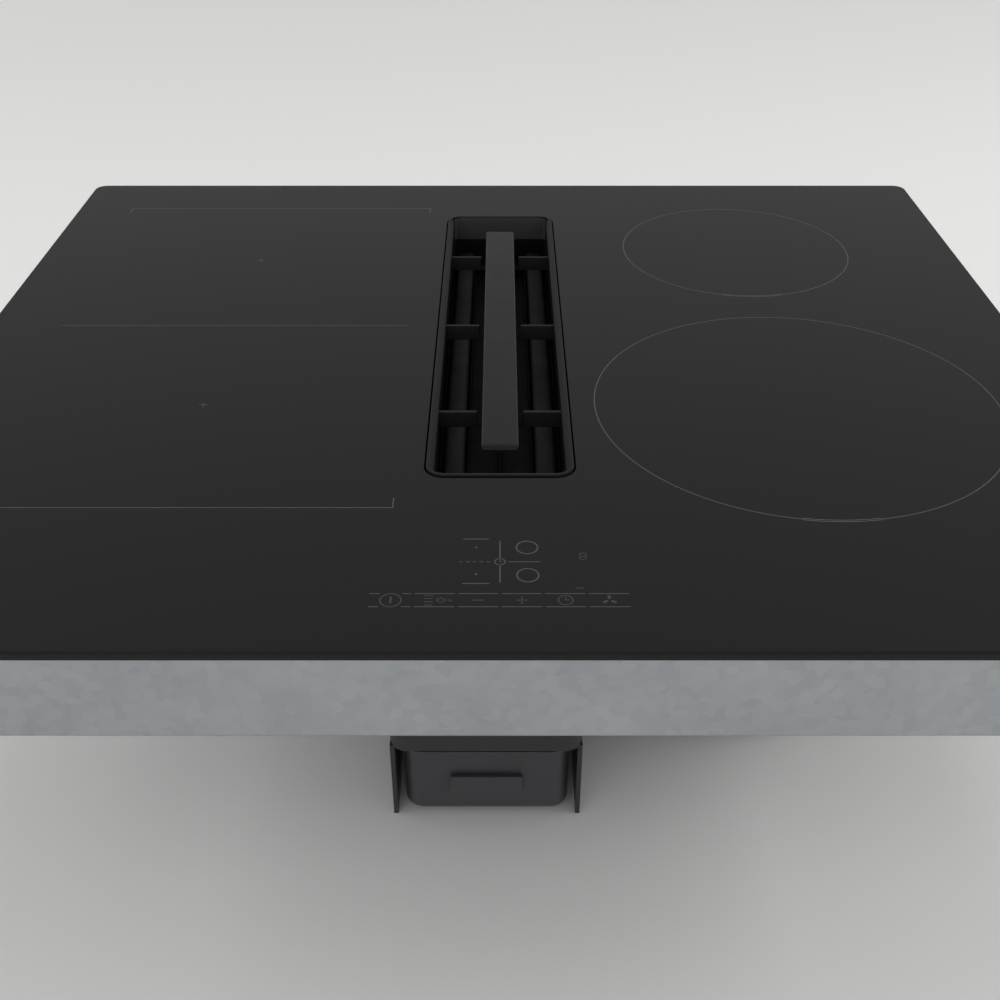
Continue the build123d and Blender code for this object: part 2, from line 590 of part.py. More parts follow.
def blade_outline():
    """A hooded blade of thin sheet: a shallow crown between two straight legs."""

    def hood(inset):
        """The outside of the blade drawn in by an inset, and open below where it is one."""
        half = BLADE_WIDTH / 2 - inset
        crown = -BLADE_TOP - inset
        shoulder = crown - BLADE_RISE
        foot = -BLADE_TOP - BLADE_HEIGHT - inset
        edges = [
            ThreePointArc((-half, shoulder), (0, crown), (half, shoulder)),
            Line((half, shoulder), (half, foot)),
            Line((half, foot), (-half, foot)),
            Line((-half, foot), (-half, shoulder)),
        ]
        return make_face(edges)

    return hood(0.0) - hood(BAFFLE_SHEET)


def make_upper_baffles():
    """The two hooded blades seen between the grille's ribs; the end walls of the frame hold them."""
    length = FILTER_INNER_LENGTH - 2 * FIT_GAP
    blades = Part()
    for side in SIDES.values():
        blades += prism_xz(Pos(side * BLADE_CENTRE, 0) * blade_outline(), length, INLET_Y)
    return blades


def make_lower_baffles():
    """The trough under the middle gap and the gutters along the walls, all resting on the ties."""
    length = FILTER_INNER_LENGTH - 2 * FILTER_FOLD
    floor = -TIE_DROP
    sheet = BAFFLE_SHEET
    trough = Pos(0, floor + TROUGH_LIP / 2) * Rectangle(TROUGH_WIDTH, TROUGH_LIP)
    trough -= Pos(0, floor + sheet + TROUGH_LIP / 2) * Rectangle(TROUGH_WIDTH - 2 * sheet, TROUGH_LIP)
    trough += Pos(0, floor + TROUGH_RIB / 2) * Rectangle(sheet, TROUGH_RIB)
    baffles = prism_xz(trough, length, INLET_Y)
    gutter_x = FILTER_INNER_WIDTH / 2 - FIT_GAP - GUTTER_WIDTH / 2
    for side in SIDES.values():
        gutter = Pos(side * gutter_x, floor + TROUGH_LIP / 2) * Rectangle(GUTTER_WIDTH, TROUGH_LIP)
        hollow = Rectangle(GUTTER_WIDTH - 2 * sheet, TROUGH_LIP)
        gutter -= Pos(side * gutter_x, floor + sheet + TROUGH_LIP / 2) * hollow
        baffles += prism_xz(gutter, length, INLET_Y)
    return baffles


# ------------------------------------------------------------------ base pan
def make_base_pan():
    """The zinc-plated pan with its inlet hole, intake slots, louvres and screw holes."""
    inner_radius = PAN_CORNER_RADIUS - PAN_SHEET
    inner_width = PAN_WIDTH - 2 * PAN_SHEET
    inner_depth = PAN_DEPTH - 2 * PAN_SHEET
    rim_z = GLASS_BOTTOM_Z - PAN_RIM_GAP
    pan = slab(PAN_WIDTH, PAN_DEPTH, PAN_BOTTOM_Z, rim_z, PAN_CORNER_RADIUS)
    pan -= slab(inner_width, inner_depth, PAN_FLOOR_Z, rim_z + 1, inner_radius)
    hole_width = STEM_WIDTH + 2 * SHAFT_PAN_GAP
    hole_length = STEM_LENGTH + 2 * SHAFT_PAN_GAP
    hole_radius = STEM_RADIUS + SHAFT_PAN_GAP
    pan -= slab(hole_width, hole_length, PAN_BOTTOM_Z - 1, PAN_FLOOR_Z + 1, hole_radius, y=INLET_Y)
    for side in SIDES.values():
        for x in spread(SLOT_COUNT, SLOT_PITCH):
            slot_x = side * FAN_X + x
            pan -= slab(SLOT_WIDTH, SLOT_LENGTH, PAN_BOTTOM_Z - 1, PAN_FLOOR_Z + 1, x=slot_x, y=FAN_Y)
        for x in spread(LOUVRE_COUNT, LOUVRE_PITCH):
            louvre = Box(LOUVRE_WIDTH, 4 * PAN_SHEET, LOUVRE_HEIGHT)
            pan -= Pos(side * BAY_X + x, PAN_DEPTH / 2, -LOUVRE_DROP) * louvre
    for hole in pan_screw_holes():
        pan -= hole
    tip_hole = rod(HOUSING_SCREW_RADIUS + SCREW_GAP, PAN_BOTTOM_Z - 1, PAN_FLOOR_Z + 1)
    for x, y in boss_places("sump") + boss_places("chamber"):
        pan -= Pos(x, y, 0) * tip_hole
    return pan


def make_pan_screws():
    """The screws that fasten the pan to the bonded frame."""
    screw = rod(PAN_SCREW_RADIUS, -PAN_SCREW_LENGTH, 0)
    screw += rod(PAN_SCREW_HEAD_RADIUS, 0, PAN_SCREW_HEAD)
    return [place * screw for place in pan_screw_places()]


def make_spring_clips():
    """Leaf springs on the sides of the pan that spread out under the worktop."""
    wall = PAN_WIDTH / 2 + CLIP_SHEET / 2
    spread_x = wall + CLIP_SPREAD
    tip_z = -CLIP_FOLD + 2 * CLIP_SPREAD
    path = Polyline(
        (wall, -CLIP_TOP),
        (wall, -CLIP_FOLD),
        (wall + CLIP_SHEET, -CLIP_FOLD),
        (spread_x, tip_z),
        (spread_x - CLIP_SHEET, tip_z + CLIP_SPREAD),
    )
    leaf = trace(path, line_width=CLIP_SHEET)
    clips = []
    for y in (-CLIP_REACH, CLIP_REACH):
        clip = prism_xz(leaf, CLIP_WIDTH, y)
        clips.append(clip)
        clips.append(mirror(clip, about=Plane.YZ))
    return clips


# ------------------------------------------------------------------ cooking zones
def coil_outline(diameter, margin=0.0):
    """The outside of a coil: a circle, or the rounded oblong of the combined zone."""
    if diameter:
        return Circle(diameter / 2 + margin)
    width = COMBI_COIL_WIDTH + 2 * margin
    depth = COMBI_COIL_DEPTH + 2 * margin
    return RectangleRounded(width, depth, COMBI_COIL_RADIUS + margin)


def coil_eye(diameter):
    """The opening in the middle of a coil."""
    if diameter:
        return Circle(COIL_EYE_DIAMETER / 2)
    return RectangleRounded(COMBI_EYE_WIDTH, COMBI_EYE_DEPTH, COMBI_EYE_RADIUS)


def make_coil(x, y, diameter):
    """One flat winding."""
    winding = coil_outline(diameter) - coil_eye(diameter)
    return Pos(x, y, COIL_Z) * extrude(winding, COIL_THICKNESS)


def make_coil_carrier(x, y, diameter):
    """The moulded disc that a coil is wound on."""
    disc = coil_outline(diameter, CARRIER_MARGIN)
    return Pos(x, y, CARRIER_Z) * extrude(disc, CARRIER_THICKNESS)


def make_mica_sheets():
    """The insulating sheets between the coils and the glass."""
    sheets = []
    for _, x, y, diameter in ZONES:
        sheets.append(Pos(x, y, MICA_Z) * extrude(coil_outline(diameter), MICA_THICKNESS))
    return sheets


def make_temperature_sensors():
    """The sensors in the eyes of the coils, between the carrier and the mica."""
    return [rod(SENSOR_RADIUS, COIL_Z, MICA_Z, x, y) for _, x, y, _ in ZONES]


def make_ferrite_bars():
    """The ferrite bars that lie like spokes under each carrier."""
    bars = []
    for _, x, y, diameter in ZONES:
        reach = diameter / 2 if diameter else min(COMBI_COIL_WIDTH, COMBI_COIL_DEPTH) / 2
        length = reach - FERRITE_MARGIN - FERRITE_START
        bar = slab(length, FERRITE_WIDTH, FERRITE_Z, CARRIER_Z, x=FERRITE_START + length / 2)
        for index in range(FERRITE_COUNT):
            angle = 360 * (index + 0.5) / FERRITE_COUNT
            bars.append(Pos(x, y, 0) * Rot(0, 0, angle) * bar)
    return bars


def make_coil_plate(side):
    """The aluminium plate under the coils of one side, on folded legs."""
    inner = BAY_INNER + COIL_PLATE_MARGIN
    outer = BAY_OUTER - COIL_PLATE_SIDE_GAP
    half_combi = COMBI_COIL_DEPTH / 2 + COIL_PLATE_MARGIN
    front = min(COMBI_FRONT_Y - half_combi, ROUND_FRONT_Y - FRONT_COIL_DIAMETER / 2)
    back = max(COMBI_REAR_Y + half_combi, ROUND_REAR_Y + REAR_COIL_DIAMETER / 2)
    middle_x = side * (inner + outer) / 2
    middle_y = (front + back) / 2
    plate = slab(outer - inner, back - front, COIL_PLATE_Z, FERRITE_Z, x=middle_x, y=middle_y)
    leg_reach = (outer - inner - COIL_LEG_WIDTH) / 2
    end_reach = (back - front - COIL_PLATE_SHEET) / 2
    for x in (middle_x - leg_reach, middle_x + leg_reach):
        for y in (middle_y - end_reach, middle_y + end_reach):
            plate += slab(COIL_LEG_WIDTH, COIL_PLATE_SHEET, PAN_FLOOR_Z, COIL_PLATE_Z, x=x, y=y)
    return plate


# ------------------------------------------------------------------ electronics
def board_corners(width, depth, x, y):
    """The fixing points of a circuit board, near its corners."""
    reach_x = width / 2 - STANDOFF_INSET
    reach_y = depth / 2 - STANDOFF_INSET
    return [(x + sx * reach_x, y + sy * reach_y) for sx in (-1, 1) for sy in (-1, 1)]


def make_board(width, depth, x, y):
    """A bare circuit board on its standoffs."""
    return slab(width, depth, BOARD_Z, BOARD_TOP_Z, x=x, y=y)


def make_board_standoffs():
    """The pillars between the pan and all its circuit boards."""
    places = board_corners(BOARD_WIDTH, BOARD_DEPTH, -BAY_X, BOARD_Y)
    places += board_corners(BOARD_WIDTH, BOARD_DEPTH, BAY_X, BOARD_Y)
    places += board_corners(FILTER_BOARD_WIDTH, FILTER_BOARD_DEPTH, -BAY_X, FILTER_BOARD_Y)
    return [rod(STANDOFF_RADIUS, PAN_FLOOR_Z, BOARD_Z, x, y) for x, y in places]


def make_heatsink(side):
    """The extruded heatsink in the air stream of the cooling fan, with upright fins."""
    base_top = BOARD_TOP_Z + HEATSINK_BASE
    sink = slab(HEATSINK_WIDTH, HEATSINK_DEPTH, BOARD_TOP_Z, base_top, x=side * FAN_X, y=HEATSINK_Y)
    pitch = (HEATSINK_WIDTH - HEATSINK_FIN) / (HEATSINK_FINS - 1)
    fin_top = BOARD_TOP_Z + HEATSINK_HEIGHT
    for x in spread(HEATSINK_FINS, pitch):
        fin_x = side * FAN_X + x
        sink += slab(HEATSINK_FIN, HEATSINK_DEPTH, base_top, fin_top, x=fin_x, y=HEATSINK_Y)
    return sink


def make_board_components(side):
    """The tall parts on a power board: capacitors, a choke and a relay in a row beside the heatsink."""
    inner_edge = BAY_X - BOARD_WIDTH / 2
    row_x = side * (inner_edge + CHOKE_SIZE)
    parts = []
    pitch = 2 * CAPACITOR_RADIUS + STANDOFF_INSET
    for y in spread(CAPACITOR_COUNT, pitch):
        top = BOARD_TOP_Z + CAPACITOR_HEIGHT
        parts.append(rod(CAPACITOR_RADIUS, BOARD_TOP_Z, top, row_x, BOARD_Y + y))
    choke_y = BOARD_Y - pitch * CAPACITOR_COUNT / 2 - CHOKE_SIZE
    parts.append(slab(CHOKE_SIZE, CHOKE_SIZE, BOARD_TOP_Z, BOARD_TOP_Z + RELAY_SIZE, 4, row_x, choke_y))
    relay_y = BOARD_Y + pitch * CAPACITOR_COUNT / 2 + RELAY_SIZE
    parts.append(slab(RELAY_SIZE, CHOKE_SIZE, BOARD_TOP_Z, BOARD_TOP_Z + RELAY_SIZE, x=row_x, y=relay_y))
    return parts


def make_filter_board():
    """The mains filter board with its choke and capacitor."""
    board = make_board(FILTER_BOARD_WIDTH, FILTER_BOARD_DEPTH, -BAY_X, FILTER_BOARD_Y)
    top = BOARD_TOP_Z + RELAY_SIZE
    for x in spread(2, CHOKE_SIZE + STANDOFF_INSET):
        board += slab(CHOKE_SIZE, CHOKE_SIZE, BOARD_TOP_Z, top, 4, -BAY_X + x, FILTER_BOARD_Y)
    return board


def make_control_housing():
    """The tray under the touch panel, glued to the glass, with bosses for its board."""
    bottom = GLASS_BOTTOM_Z - CONTROL_HEIGHT
    wall = CONTROL_WALL
    tray = tub(CONTROL_WIDTH, CONTROL_DEPTH, bottom, GLASS_BOTTOM_Z, 3, wall, wall, y=CONTROL_Y)
    boss_top = GLASS_BOTTOM_Z - CONTROL_BOARD_DROP - BOARD_THICKNESS
    for x, y in board_corners(CONTROL_WIDTH, CONTROL_DEPTH, 0, CONTROL_Y):
        tray += rod(CONTROL_BOSS_RADIUS, bottom + wall, boss_top, x, y)
    return tray


def make_control_board():
    """The board of the touch panel, on the bosses of its housing."""
    width = CONTROL_WIDTH - 2 * (CONTROL_WALL + FIT_GAP)
    depth = CONTROL_DEPTH - 2 * (CONTROL_WALL + FIT_GAP)
    top = GLASS_BOTTOM_Z - CONTROL_BOARD_DROP
    return slab(width, depth, top - BOARD_THICKNESS, top, 1, y=CONTROL_Y)


def make_display_modules():
    """The key strip at the front and the display behind it, pressed up against the glass."""
    bottom = GLASS_BOTTOM_Z - CONTROL_BOARD_DROP
    inside = CONTROL_DEPTH / 2 - CONTROL_WALL - FIT_GAP
    key_y = CONTROL_Y - inside + KEY_STRIP_DEPTH / 2
    display_y = CONTROL_Y + inside - DISPLAY_DEPTH / 2
    top = GLASS_BOTTOM_Z
    keys = slab(KEY_STRIP_WIDTH, KEY_STRIP_DEPTH, bottom, top, 1, y=key_y)
    return [keys, slab(DISPLAY_WIDTH, DISPLAY_DEPTH, bottom, top, 1, y=display_y)]


# ------------------------------------------------------------------ mains terminal
def make_terminal_cover():
    """The box under the pan that covers the mains terminals, with a hole for the gland."""
    cover = tub(
        TERMINAL_WIDTH,
        TERMINAL_DEPTH,
        TERMINAL_FLOOR_Z,
        PAN_BOTTOM_Z,
        4,
        TERMINAL_WALL,
        TERMINAL_WALL,
        TERMINAL_X,
        TERMINAL_Y,
    )
    hole = Rot(-90, 0, 0) * rod(GLAND_RADIUS + SCREW_GAP, -2 * TERMINAL_WALL, TERMINAL_WALL)
    return cover - Pos(TERMINAL_X, TERMINAL_Y + TERMINAL_DEPTH / 2, GLAND_Z) * hole


def make_terminal_block():
    """The five-pole terminal block on the floor of its cover, with a screw well at each pole."""
    y = TERMINAL_Y - TERMINAL_DEPTH / 2 + TERMINAL_WALL + TERMINAL_BLOCK_DEPTH
    bottom = TERMINAL_FLOOR_Z + TERMINAL_WALL
    top = bottom + TERMINAL_BLOCK_HEIGHT
    block = slab(TERMINAL_BLOCK_WIDTH, TERMINAL_BLOCK_DEPTH, bottom, top, x=TERMINAL_X, y=y)
    poles = 5
    for x in spread(poles, TERMINAL_BLOCK_WIDTH / poles):
        block -= rod(PAN_SCREW_HEAD_RADIUS, top - TERMINAL_BLOCK_HEIGHT / 2, top, TERMINAL_X + x, y)
    return block


def make_cable_gland():
    """The gland in the back of the terminal cover: a bored sleeve with a hexagon nut outside."""
    body = rod(GLAND_RADIUS, -TERMINAL_WALL - GLAND_NUT, GLAND_REACH)
    nut = extrude(RegularPolygon(GLAND_NUT_RADIUS, 6), GLAND_NUT)
    gland = body + nut
    gland -= rod(GLAND_BORE_RADIUS, -TERMINAL_WALL - GLAND_NUT - 1, GLAND_REACH + 1)
    return Pos(TERMINAL_X, TERMINAL_Y + TERMINAL_DEPTH / 2, GLAND_Z) * Rot(-90, 0, 0) * gland


# ------------------------------------------------------------------ extractor housing
def boss_places(part):
    """Where the cover is screwed to the sump or to the fan chamber, just outside their walls."""
    if part == "sump":
        left = -SUMP_LEFT - BOSS_OFFSET
        places = [(left, INLET_Y + y) for y in spread(3, SUMP_LENGTH / 3)]
        places.append((SUMP_X, SUMP_FRONT - BOSS_OFFSET))
        return places + [(SUMP_X, SUMP_BACK + BOSS_OFFSET)]
    right = CHAMBER_RIGHT + BOSS_OFFSET
    middle = SUMP_RIGHT + CHAMBER_WIDTH / 2
    reach = CHAMBER_LENGTH / 2 + BOSS_OFFSET
    places = [(right, CHAMBER_Y + y) for y in spread(2, CHAMBER_LENGTH / 2)]
    return places + [(middle, CHAMBER_Y - reach), (middle, CHAMBER_Y + reach)]


def add_bosses(body, part):
    """Add the screw bosses of one housing, hanging from the plane of its cover, and bore them."""
    for x, y in boss_places(part):
        body += rod(BOSS_RADIUS, COVER_BOTTOM_Z - BOSS_HEIGHT, COVER_BOTTOM_Z, x, y)
    for x, y in boss_places(part):
        hole_radius = HOUSING_SCREW_RADIUS + SCREW_GAP
        body -= rod(hole_radius, COVER_BOTTOM_Z - BOSS_HEIGHT - 1, COVER_BOTTOM_Z + 1, x, y)
    return body


def make_plenum_cover():
    """The plate under the pan that closes the sump and the fan chamber, with the shaft's hole."""
    middle = SUMP_RIGHT + CHAMBER_WIDTH / 2
    overlap = SUMP_RADIUS
    cover = slab(SUMP_WIDTH, SUMP_LENGTH, COVER_BOTTOM_Z, PAN_BOTTOM_Z, SUMP_RADIUS, SUMP_X, INLET_Y)
    cover += slab(
        CHAMBER_WIDTH + 2 * overlap,
        CHAMBER_LENGTH,
        COVER_BOTTOM_Z,
        PAN_BOTTOM_Z,
        SUMP_RADIUS,
        middle - overlap,
        CHAMBER_Y,
    )
    for x, y in boss_places("sump") + boss_places("chamber"):
        cover += rod(BOSS_RADIUS, COVER_BOTTOM_Z, PAN_BOTTOM_Z, x, y)
    for x, y in boss_places("sump") + boss_places("chamber"):
        cover -= rod(HOUSING_SCREW_RADIUS + SCREW_GAP, COVER_BOTTOM_Z - 1, PAN_BOTTOM_Z + 1, x, y)
    hole_width = STEM_WIDTH + 2 * GASKET_WALL + SCREW_GAP
    hole_length = STEM_LENGTH + 2 * GASKET_WALL + SCREW_GAP
    hole_radius = STEM_RADIUS + GASKET_WALL
    return cover - slab(hole_width, hole_length, COVER_BOTTOM_Z - 1, 0, hole_radius, y=INLET_Y)


def make_sump():
    """The moulded sump: a tank above, and below it a tunnel with rails for the overflow tank."""
    bottom = BASE_Z
    inner_width = SUMP_WIDTH - 2 * SUMP_WALL
    inner_length = SUMP_LENGTH - 2 * SUMP_WALL
    inner_radius = SUMP_RADIUS - SUMP_WALL
    sump = slab(SUMP_WIDTH, SUMP_LENGTH, bottom, COVER_BOTTOM_Z, SUMP_RADIUS, SUMP_X, INLET_Y)
    top = COVER_BOTTOM_Z + 1
    sump -= slab(inner_width, inner_length, SUMP_FLOOR_Z, top, inner_radius, SUMP_X, INLET_Y)
    tunnel_length = SUMP_LENGTH - SUMP_WALL
    tunnel_y = INLET_Y - SUMP_WALL
    sump -= slab(inner_width, tunnel_length, bottom - 1, -SUMP_DEPTH, x=SUMP_X, y=tunnel_y)
    rail_reach = (inner_width - RAIL_WIDTH) / 2
    for side in SIDES.values():
        sump += slab(
            RAIL_WIDTH,
            SUMP_LENGTH - 2 * SUMP_RADIUS,
            RAIL_TOP_Z - RAIL_THICKNESS,
            RAIL_TOP_Z,
            x=SUMP_X + side * rail_reach,
            y=INLET_Y,
        )
        locator_x = side * (TRAY_WIDTH / 2 + REST_GAP + LOCATOR_WIDTH / 2)
        for y in (INLET_Y - LOCATOR_REACH, INLET_Y + LOCATOR_REACH):
            locator_top = SUMP_FLOOR_Z + LOCATOR_HEIGHT
            sump += slab(LOCATOR_WIDTH, LOCATOR_LENGTH, SUMP_FLOOR_Z, locator_top, x=locator_x, y=y)
    window = Box(
        4 * SUMP_WALL,
        CHAMBER_LENGTH - 2 * WINDOW_MARGIN,
        CHAMBER_DEPTH + COVER_BOTTOM_Z - 2 * WINDOW_MARGIN,
    )
    window_z = (COVER_BOTTOM_Z - CHAMBER_DEPTH) / 2
    sump -= Pos(SUMP_RIGHT, CHAMBER_Y, window_z) * window
    drain_x = SUMP_X
    drain_y = SUMP_FRONT + 4 * DRAIN_RADIUS
    sump += rod(DRAIN_RADIUS, -SUMP_DEPTH - DRAIN_LENGTH, -SUMP_DEPTH, drain_x, drain_y)
    sump -= rod(DRAIN_BORE, -SUMP_DEPTH - DRAIN_LENGTH - 1, SUMP_FLOOR_Z + 1, drain_x, drain_y)
    return add_bosses(sump, "sump")


def make_fan_chamber():
    """The chamber beside the sump that leads the air over the blower's inlet."""
    middle = SUMP_RIGHT + CHAMBER_WIDTH / 2
    wall = SUMP_WALL
    chamber = slab(
        CHAMBER_WIDTH + 2 * SUMP_RADIUS,
        CHAMBER_LENGTH,
        CHAMBER_BOTTOM_Z,
        COVER_BOTTOM_Z,
        SUMP_RADIUS,
        middle - SUMP_RADIUS,
        CHAMBER_Y,
    )
    chamber -= slab(
        CHAMBER_WIDTH + 2 * SUMP_RADIUS,
        CHAMBER_LENGTH - 2 * wall,
        CHAMBER_BOTTOM_Z + wall,
        COVER_BOTTOM_Z + 1,
        SUMP_RADIUS - wall,
        middle - SUMP_RADIUS - wall,
        CHAMBER_Y,
    )
    cut = 4 * SUMP_RADIUS
    height_z = CHAMBER_BOTTOM_Z - 1
    chamber -= slab(cut, CHAMBER_LENGTH + 2, height_z, 0, x=SUMP_RIGHT - cut / 2, y=CHAMBER_Y)
    hole_radius = BELL_THROAT + BELL_CURVE + BELL_GAP
    chamber -= rod(hole_radius, CHAMBER_BOTTOM_Z - 1, CHAMBER_BOTTOM_Z + wall + 1, BLOWER_X, BLOWER_Y)
    return add_bosses(chamber, "chamber")


def make_housing_screws():
    """The screws that hold the sump and the chamber to the pan, driven from below."""
    head_z = COVER_BOTTOM_Z - BOSS_HEIGHT
    screws = []
    for x, y in boss_places("sump") + boss_places("chamber"):
        tip_z = PAN_FLOOR_Z + HOUSING_SCREW_TIP
        screw = rod(HOUSING_SCREW_RADIUS, head_z, tip_z, x, y)
        screws.append(screw + rod(HOUSING_SCREW_HEAD_RADIUS, head_z - HOUSING_SCREW_HEAD, head_z, x, y))
    return screws


# ------------------------------------------------------------------ radial blowers
def scroll_outline(radius, step, tongue, reach, grow=0.0):
    """Plan of a scroll about its axis: three quarter arcs that widen by a step, then a mouth.

    The arcs' centres are the corners of a square whose side is the step, so the spiral is
    smooth where they meet. The mouth opens towards +Y. `grow` moves the whole outline outwards.
    """
    half = step / 2
    first = radius + grow
    second = first + step
    third = second + step
    left = tongue - grow
    start = acos((left + half) / first)
    tongue_y = first * sin(start) - half
    right = half + third
    edges = [
        Line((left, reach), (left, tongue_y)),
        CenterArc((-half, -half), first, degrees(start), 180 - degrees(start)),
        CenterArc((half, -half), second, 180, 90),
        CenterArc((half, half), third, 270, 90),
        Line((right, half), (right, reach)),
        Line((right, reach), (left, reach)),
    ]
    return make_face(edges)


def blade_plan(root, tip, sweep, thickness):
    """Plan of one forward-curved blade in two folds: its tip leads its root by the sweep."""
    middle = (root + tip) / 2

    def point(radius, angle, offset):
        turn = radians(angle) + offset / radius
        return (radius * cos(turn), radius * sin(turn))

    stations = [(root, 0), (middle, sweep / 5), (tip, sweep)]
    back = [point(radius, angle, 0.0) for radius, angle in stations]
    front = [point(radius, angle, thickness) for radius, angle in stations]
    return polygon(back + front[::-1])


def radial_wheel(tip, root, count, blade_height, sheet, dome, dome_height, ring, sweep, thickness):
    """A wheel on Z = 0: a back plate with a dome for the motor, a ring of blades and a rim."""
    wheel = rod(tip, 0, sheet) - rod(dome, -1, sheet + 1)
    wheel += rod(dome, 0, dome_height) - rod(dome - sheet, -1, dome_height - sheet)
    rim_z = sheet + blade_height
    wheel += rod(tip, rim_z - ring / 2, rim_z + ring / 2) - rod(tip - ring, 0, rim_z + ring)
    blade = Pos(0, 0, sheet) * extrude(blade_plan(root, tip - sheet / 2, sweep, thickness), blade_height)
    blades = [Rot(0, 0, 360 * index / count) * blade for index in range(count)]
    return wheel + blades


def make_blower_impeller():
    """The wheel of the blower, with the hub that takes its shaft."""
    wheel = radial_wheel(
        WHEEL_RADIUS,
        WHEEL_BLADE_START,
        WHEEL_BLADE_COUNT,
        WHEEL_BLADE_HEIGHT,
        WHEEL_SHEET,
        WHEEL_DOME_RADIUS,
        WHEEL_DOME_HEIGHT,
        WHEEL_RING,
        BLADE_SWEEP,
        BLADE_THICKNESS,
    )
    under_dome = WHEEL_DOME_HEIGHT - WHEEL_SHEET
    wheel += rod(HUB_RADIUS, under_dome - HUB_DEPTH + MOTOR_TOP_GAP / 2, under_dome)
    wheel -= rod(SHAFT_RADIUS + BORE_GAP / 2, 0, WHEEL_DOME_HEIGHT + 1)
    return Pos(BLOWER_X, BLOWER_Y, WHEEL_PLATE_Z) * wheel


MOTOR_TOP_Z = WHEEL_PLATE_Z + WHEEL_DOME_HEIGHT - WHEEL_SHEET - HUB_DEPTH
FLANGE_TOP_Z = SCROLL_BOTTOM_Z - DAMPER_HEIGHT
CAP_TOP_Z = FLANGE_TOP_Z - MOTOR_FLANGE
CAP_BOTTOM_Z = CAP_TOP_Z - MOTOR_CAP


def make_blower_shaft():
    """The shaft that the wheel and the motor share."""
    top = WHEEL_PLATE_Z + WHEEL_DOME_HEIGHT
    return rod(SHAFT_RADIUS, CAP_BOTTOM_Z + MOTOR_CAP / 2, top, BLOWER_X, BLOWER_Y)


def make_blower_motor():
    """The motor: a can inside the wheel's dome, a flange under the scroll and a closed cap."""
    motor = rod(MOTOR_RADIUS, FLANGE_TOP_Z, MOTOR_TOP_Z)
    motor += rod(MOTOR_FLANGE_RADIUS, CAP_TOP_Z, FLANGE_TOP_Z)
    motor += rod(MOTOR_CAP_RADIUS, CAP_BOTTOM_Z, CAP_TOP_Z)
    motor -= rod(SHAFT_RADIUS + SLIP_GAP, CAP_TOP_Z, MOTOR_TOP_Z + 1)
    motor -= rod(SHAFT_RADIUS + SLIP_GAP, CAP_BOTTOM_Z + MOTOR_CAP / 3, CAP_TOP_Z)
    seat = BEARING_RADIUS + BORE_GAP
    motor -= rod(seat, MOTOR_TOP_Z - BEARING_HEIGHT, MOTOR_TOP_Z + 1)
    motor -= rod(seat, CAP_TOP_Z, CAP_TOP_Z + BEARING_HEIGHT)
    return Pos(BLOWER_X, BLOWER_Y, 0) * motor


def make_motor_bearings():
    """The upper and the lower bearing of the motor."""
    bearing = rod(BEARING_RADIUS, 0, BEARING_HEIGHT) - rod(SHAFT_RADIUS + BORE_GAP, -1, BEARING_HEIGHT + 1)
    places = (MOTOR_TOP_Z - BEARING_HEIGHT, CAP_TOP_Z)
    return [Pos(BLOWER_X, BLOWER_Y, z) * bearing for z in places]


def make_motor_dampers():
    """The rubber bushes between the scroll and the motor's flange."""
    dampers = []
    for index in range(4):
        angle = radians(45 + 90 * index)
        x = BLOWER_X + DAMPER_REACH * cos(angle)
        y = BLOWER_Y + DAMPER_REACH * sin(angle)
        dampers.append(rod(DAMPER_RADIUS, FLANGE_TOP_Z, SCROLL_BOTTOM_Z, x, y))
    return dampers


def blower_scroll(grow, reach):
    """Plan of the blower's scroll in its place."""
    outline = scroll_outline(SCROLL_FIRST, SCROLL_STEP, SCROLL_TONGUE, reach, grow)
    return Pos(BLOWER_X, BLOWER_Y) * outline


def make_scroll_body():
    """The spiral housing under the fan chamber, with its floor and the foot ring under it."""
    body = Pos(0, 0, SCROLL_BOTTOM_Z) * extrude(
        blower_scroll(SCROLL_WALL, SCROLL_REACH), SCROLL_TOP_Z - SCROLL_BOTTOM_Z
    )
    body -= Pos(0, 0, SCROLL_FLOOR_Z) * extrude(
        blower_scroll(0.0, SCROLL_REACH + 1), SCROLL_TOP_Z - SCROLL_FLOOR_Z + 1
    )
    foot = rod(FOOT_RADIUS, BASE_Z, SCROLL_BOTTOM_Z) - rod(FOOT_RADIUS - FOOT_WALL, BASE_Z - 1, 0)
    body += Pos(BLOWER_X, BLOWER_Y, 0) * foot
    hole = rod(MOTOR_RADIUS + MOTOR_FLOOR_GAP, SCROLL_BOTTOM_Z - 1, SCROLL_FLOOR_Z + 1)
    return body - Pos(BLOWER_X, BLOWER_Y, 0) * hole


def make_scroll_cover():
    """The plate that closes the scroll, with the bell mouth that leads the air into the wheel."""
    outside = blower_scroll(SCROLL_WALL, SCROLL_REACH)
    cover = Pos(0, 0, SCROLL_TOP_Z) * extrude(outside, SCROLL_WALL)
    rim = BELL_THROAT + BELL_CURVE
    cover -= rod(rim, SCROLL_TOP_Z - 1, CHAMBER_BOTTOM_Z + 1, BLOWER_X, BLOWER_Y)

    def quarter(radius):
        """Corners of a quarter turn about the lip of the rim, from the rim to the throat."""
        turns = [radians(90 - 90 * index / BELL_BANDS) for index in range(BELL_BANDS + 1)]
        return [(rim - radius * cos(turn), BELL_END_Z + radius * sin(turn)) for turn in turns]

    wall = polygon(quarter(BELL_CURVE) + quarter(BELL_CURVE - BELL_WALL)[::-1])
    bell = revolve(Plane.XZ * wall, Axis.Z)
    return cover + Pos(BLOWER_X, BLOWER_Y, 0) * bell


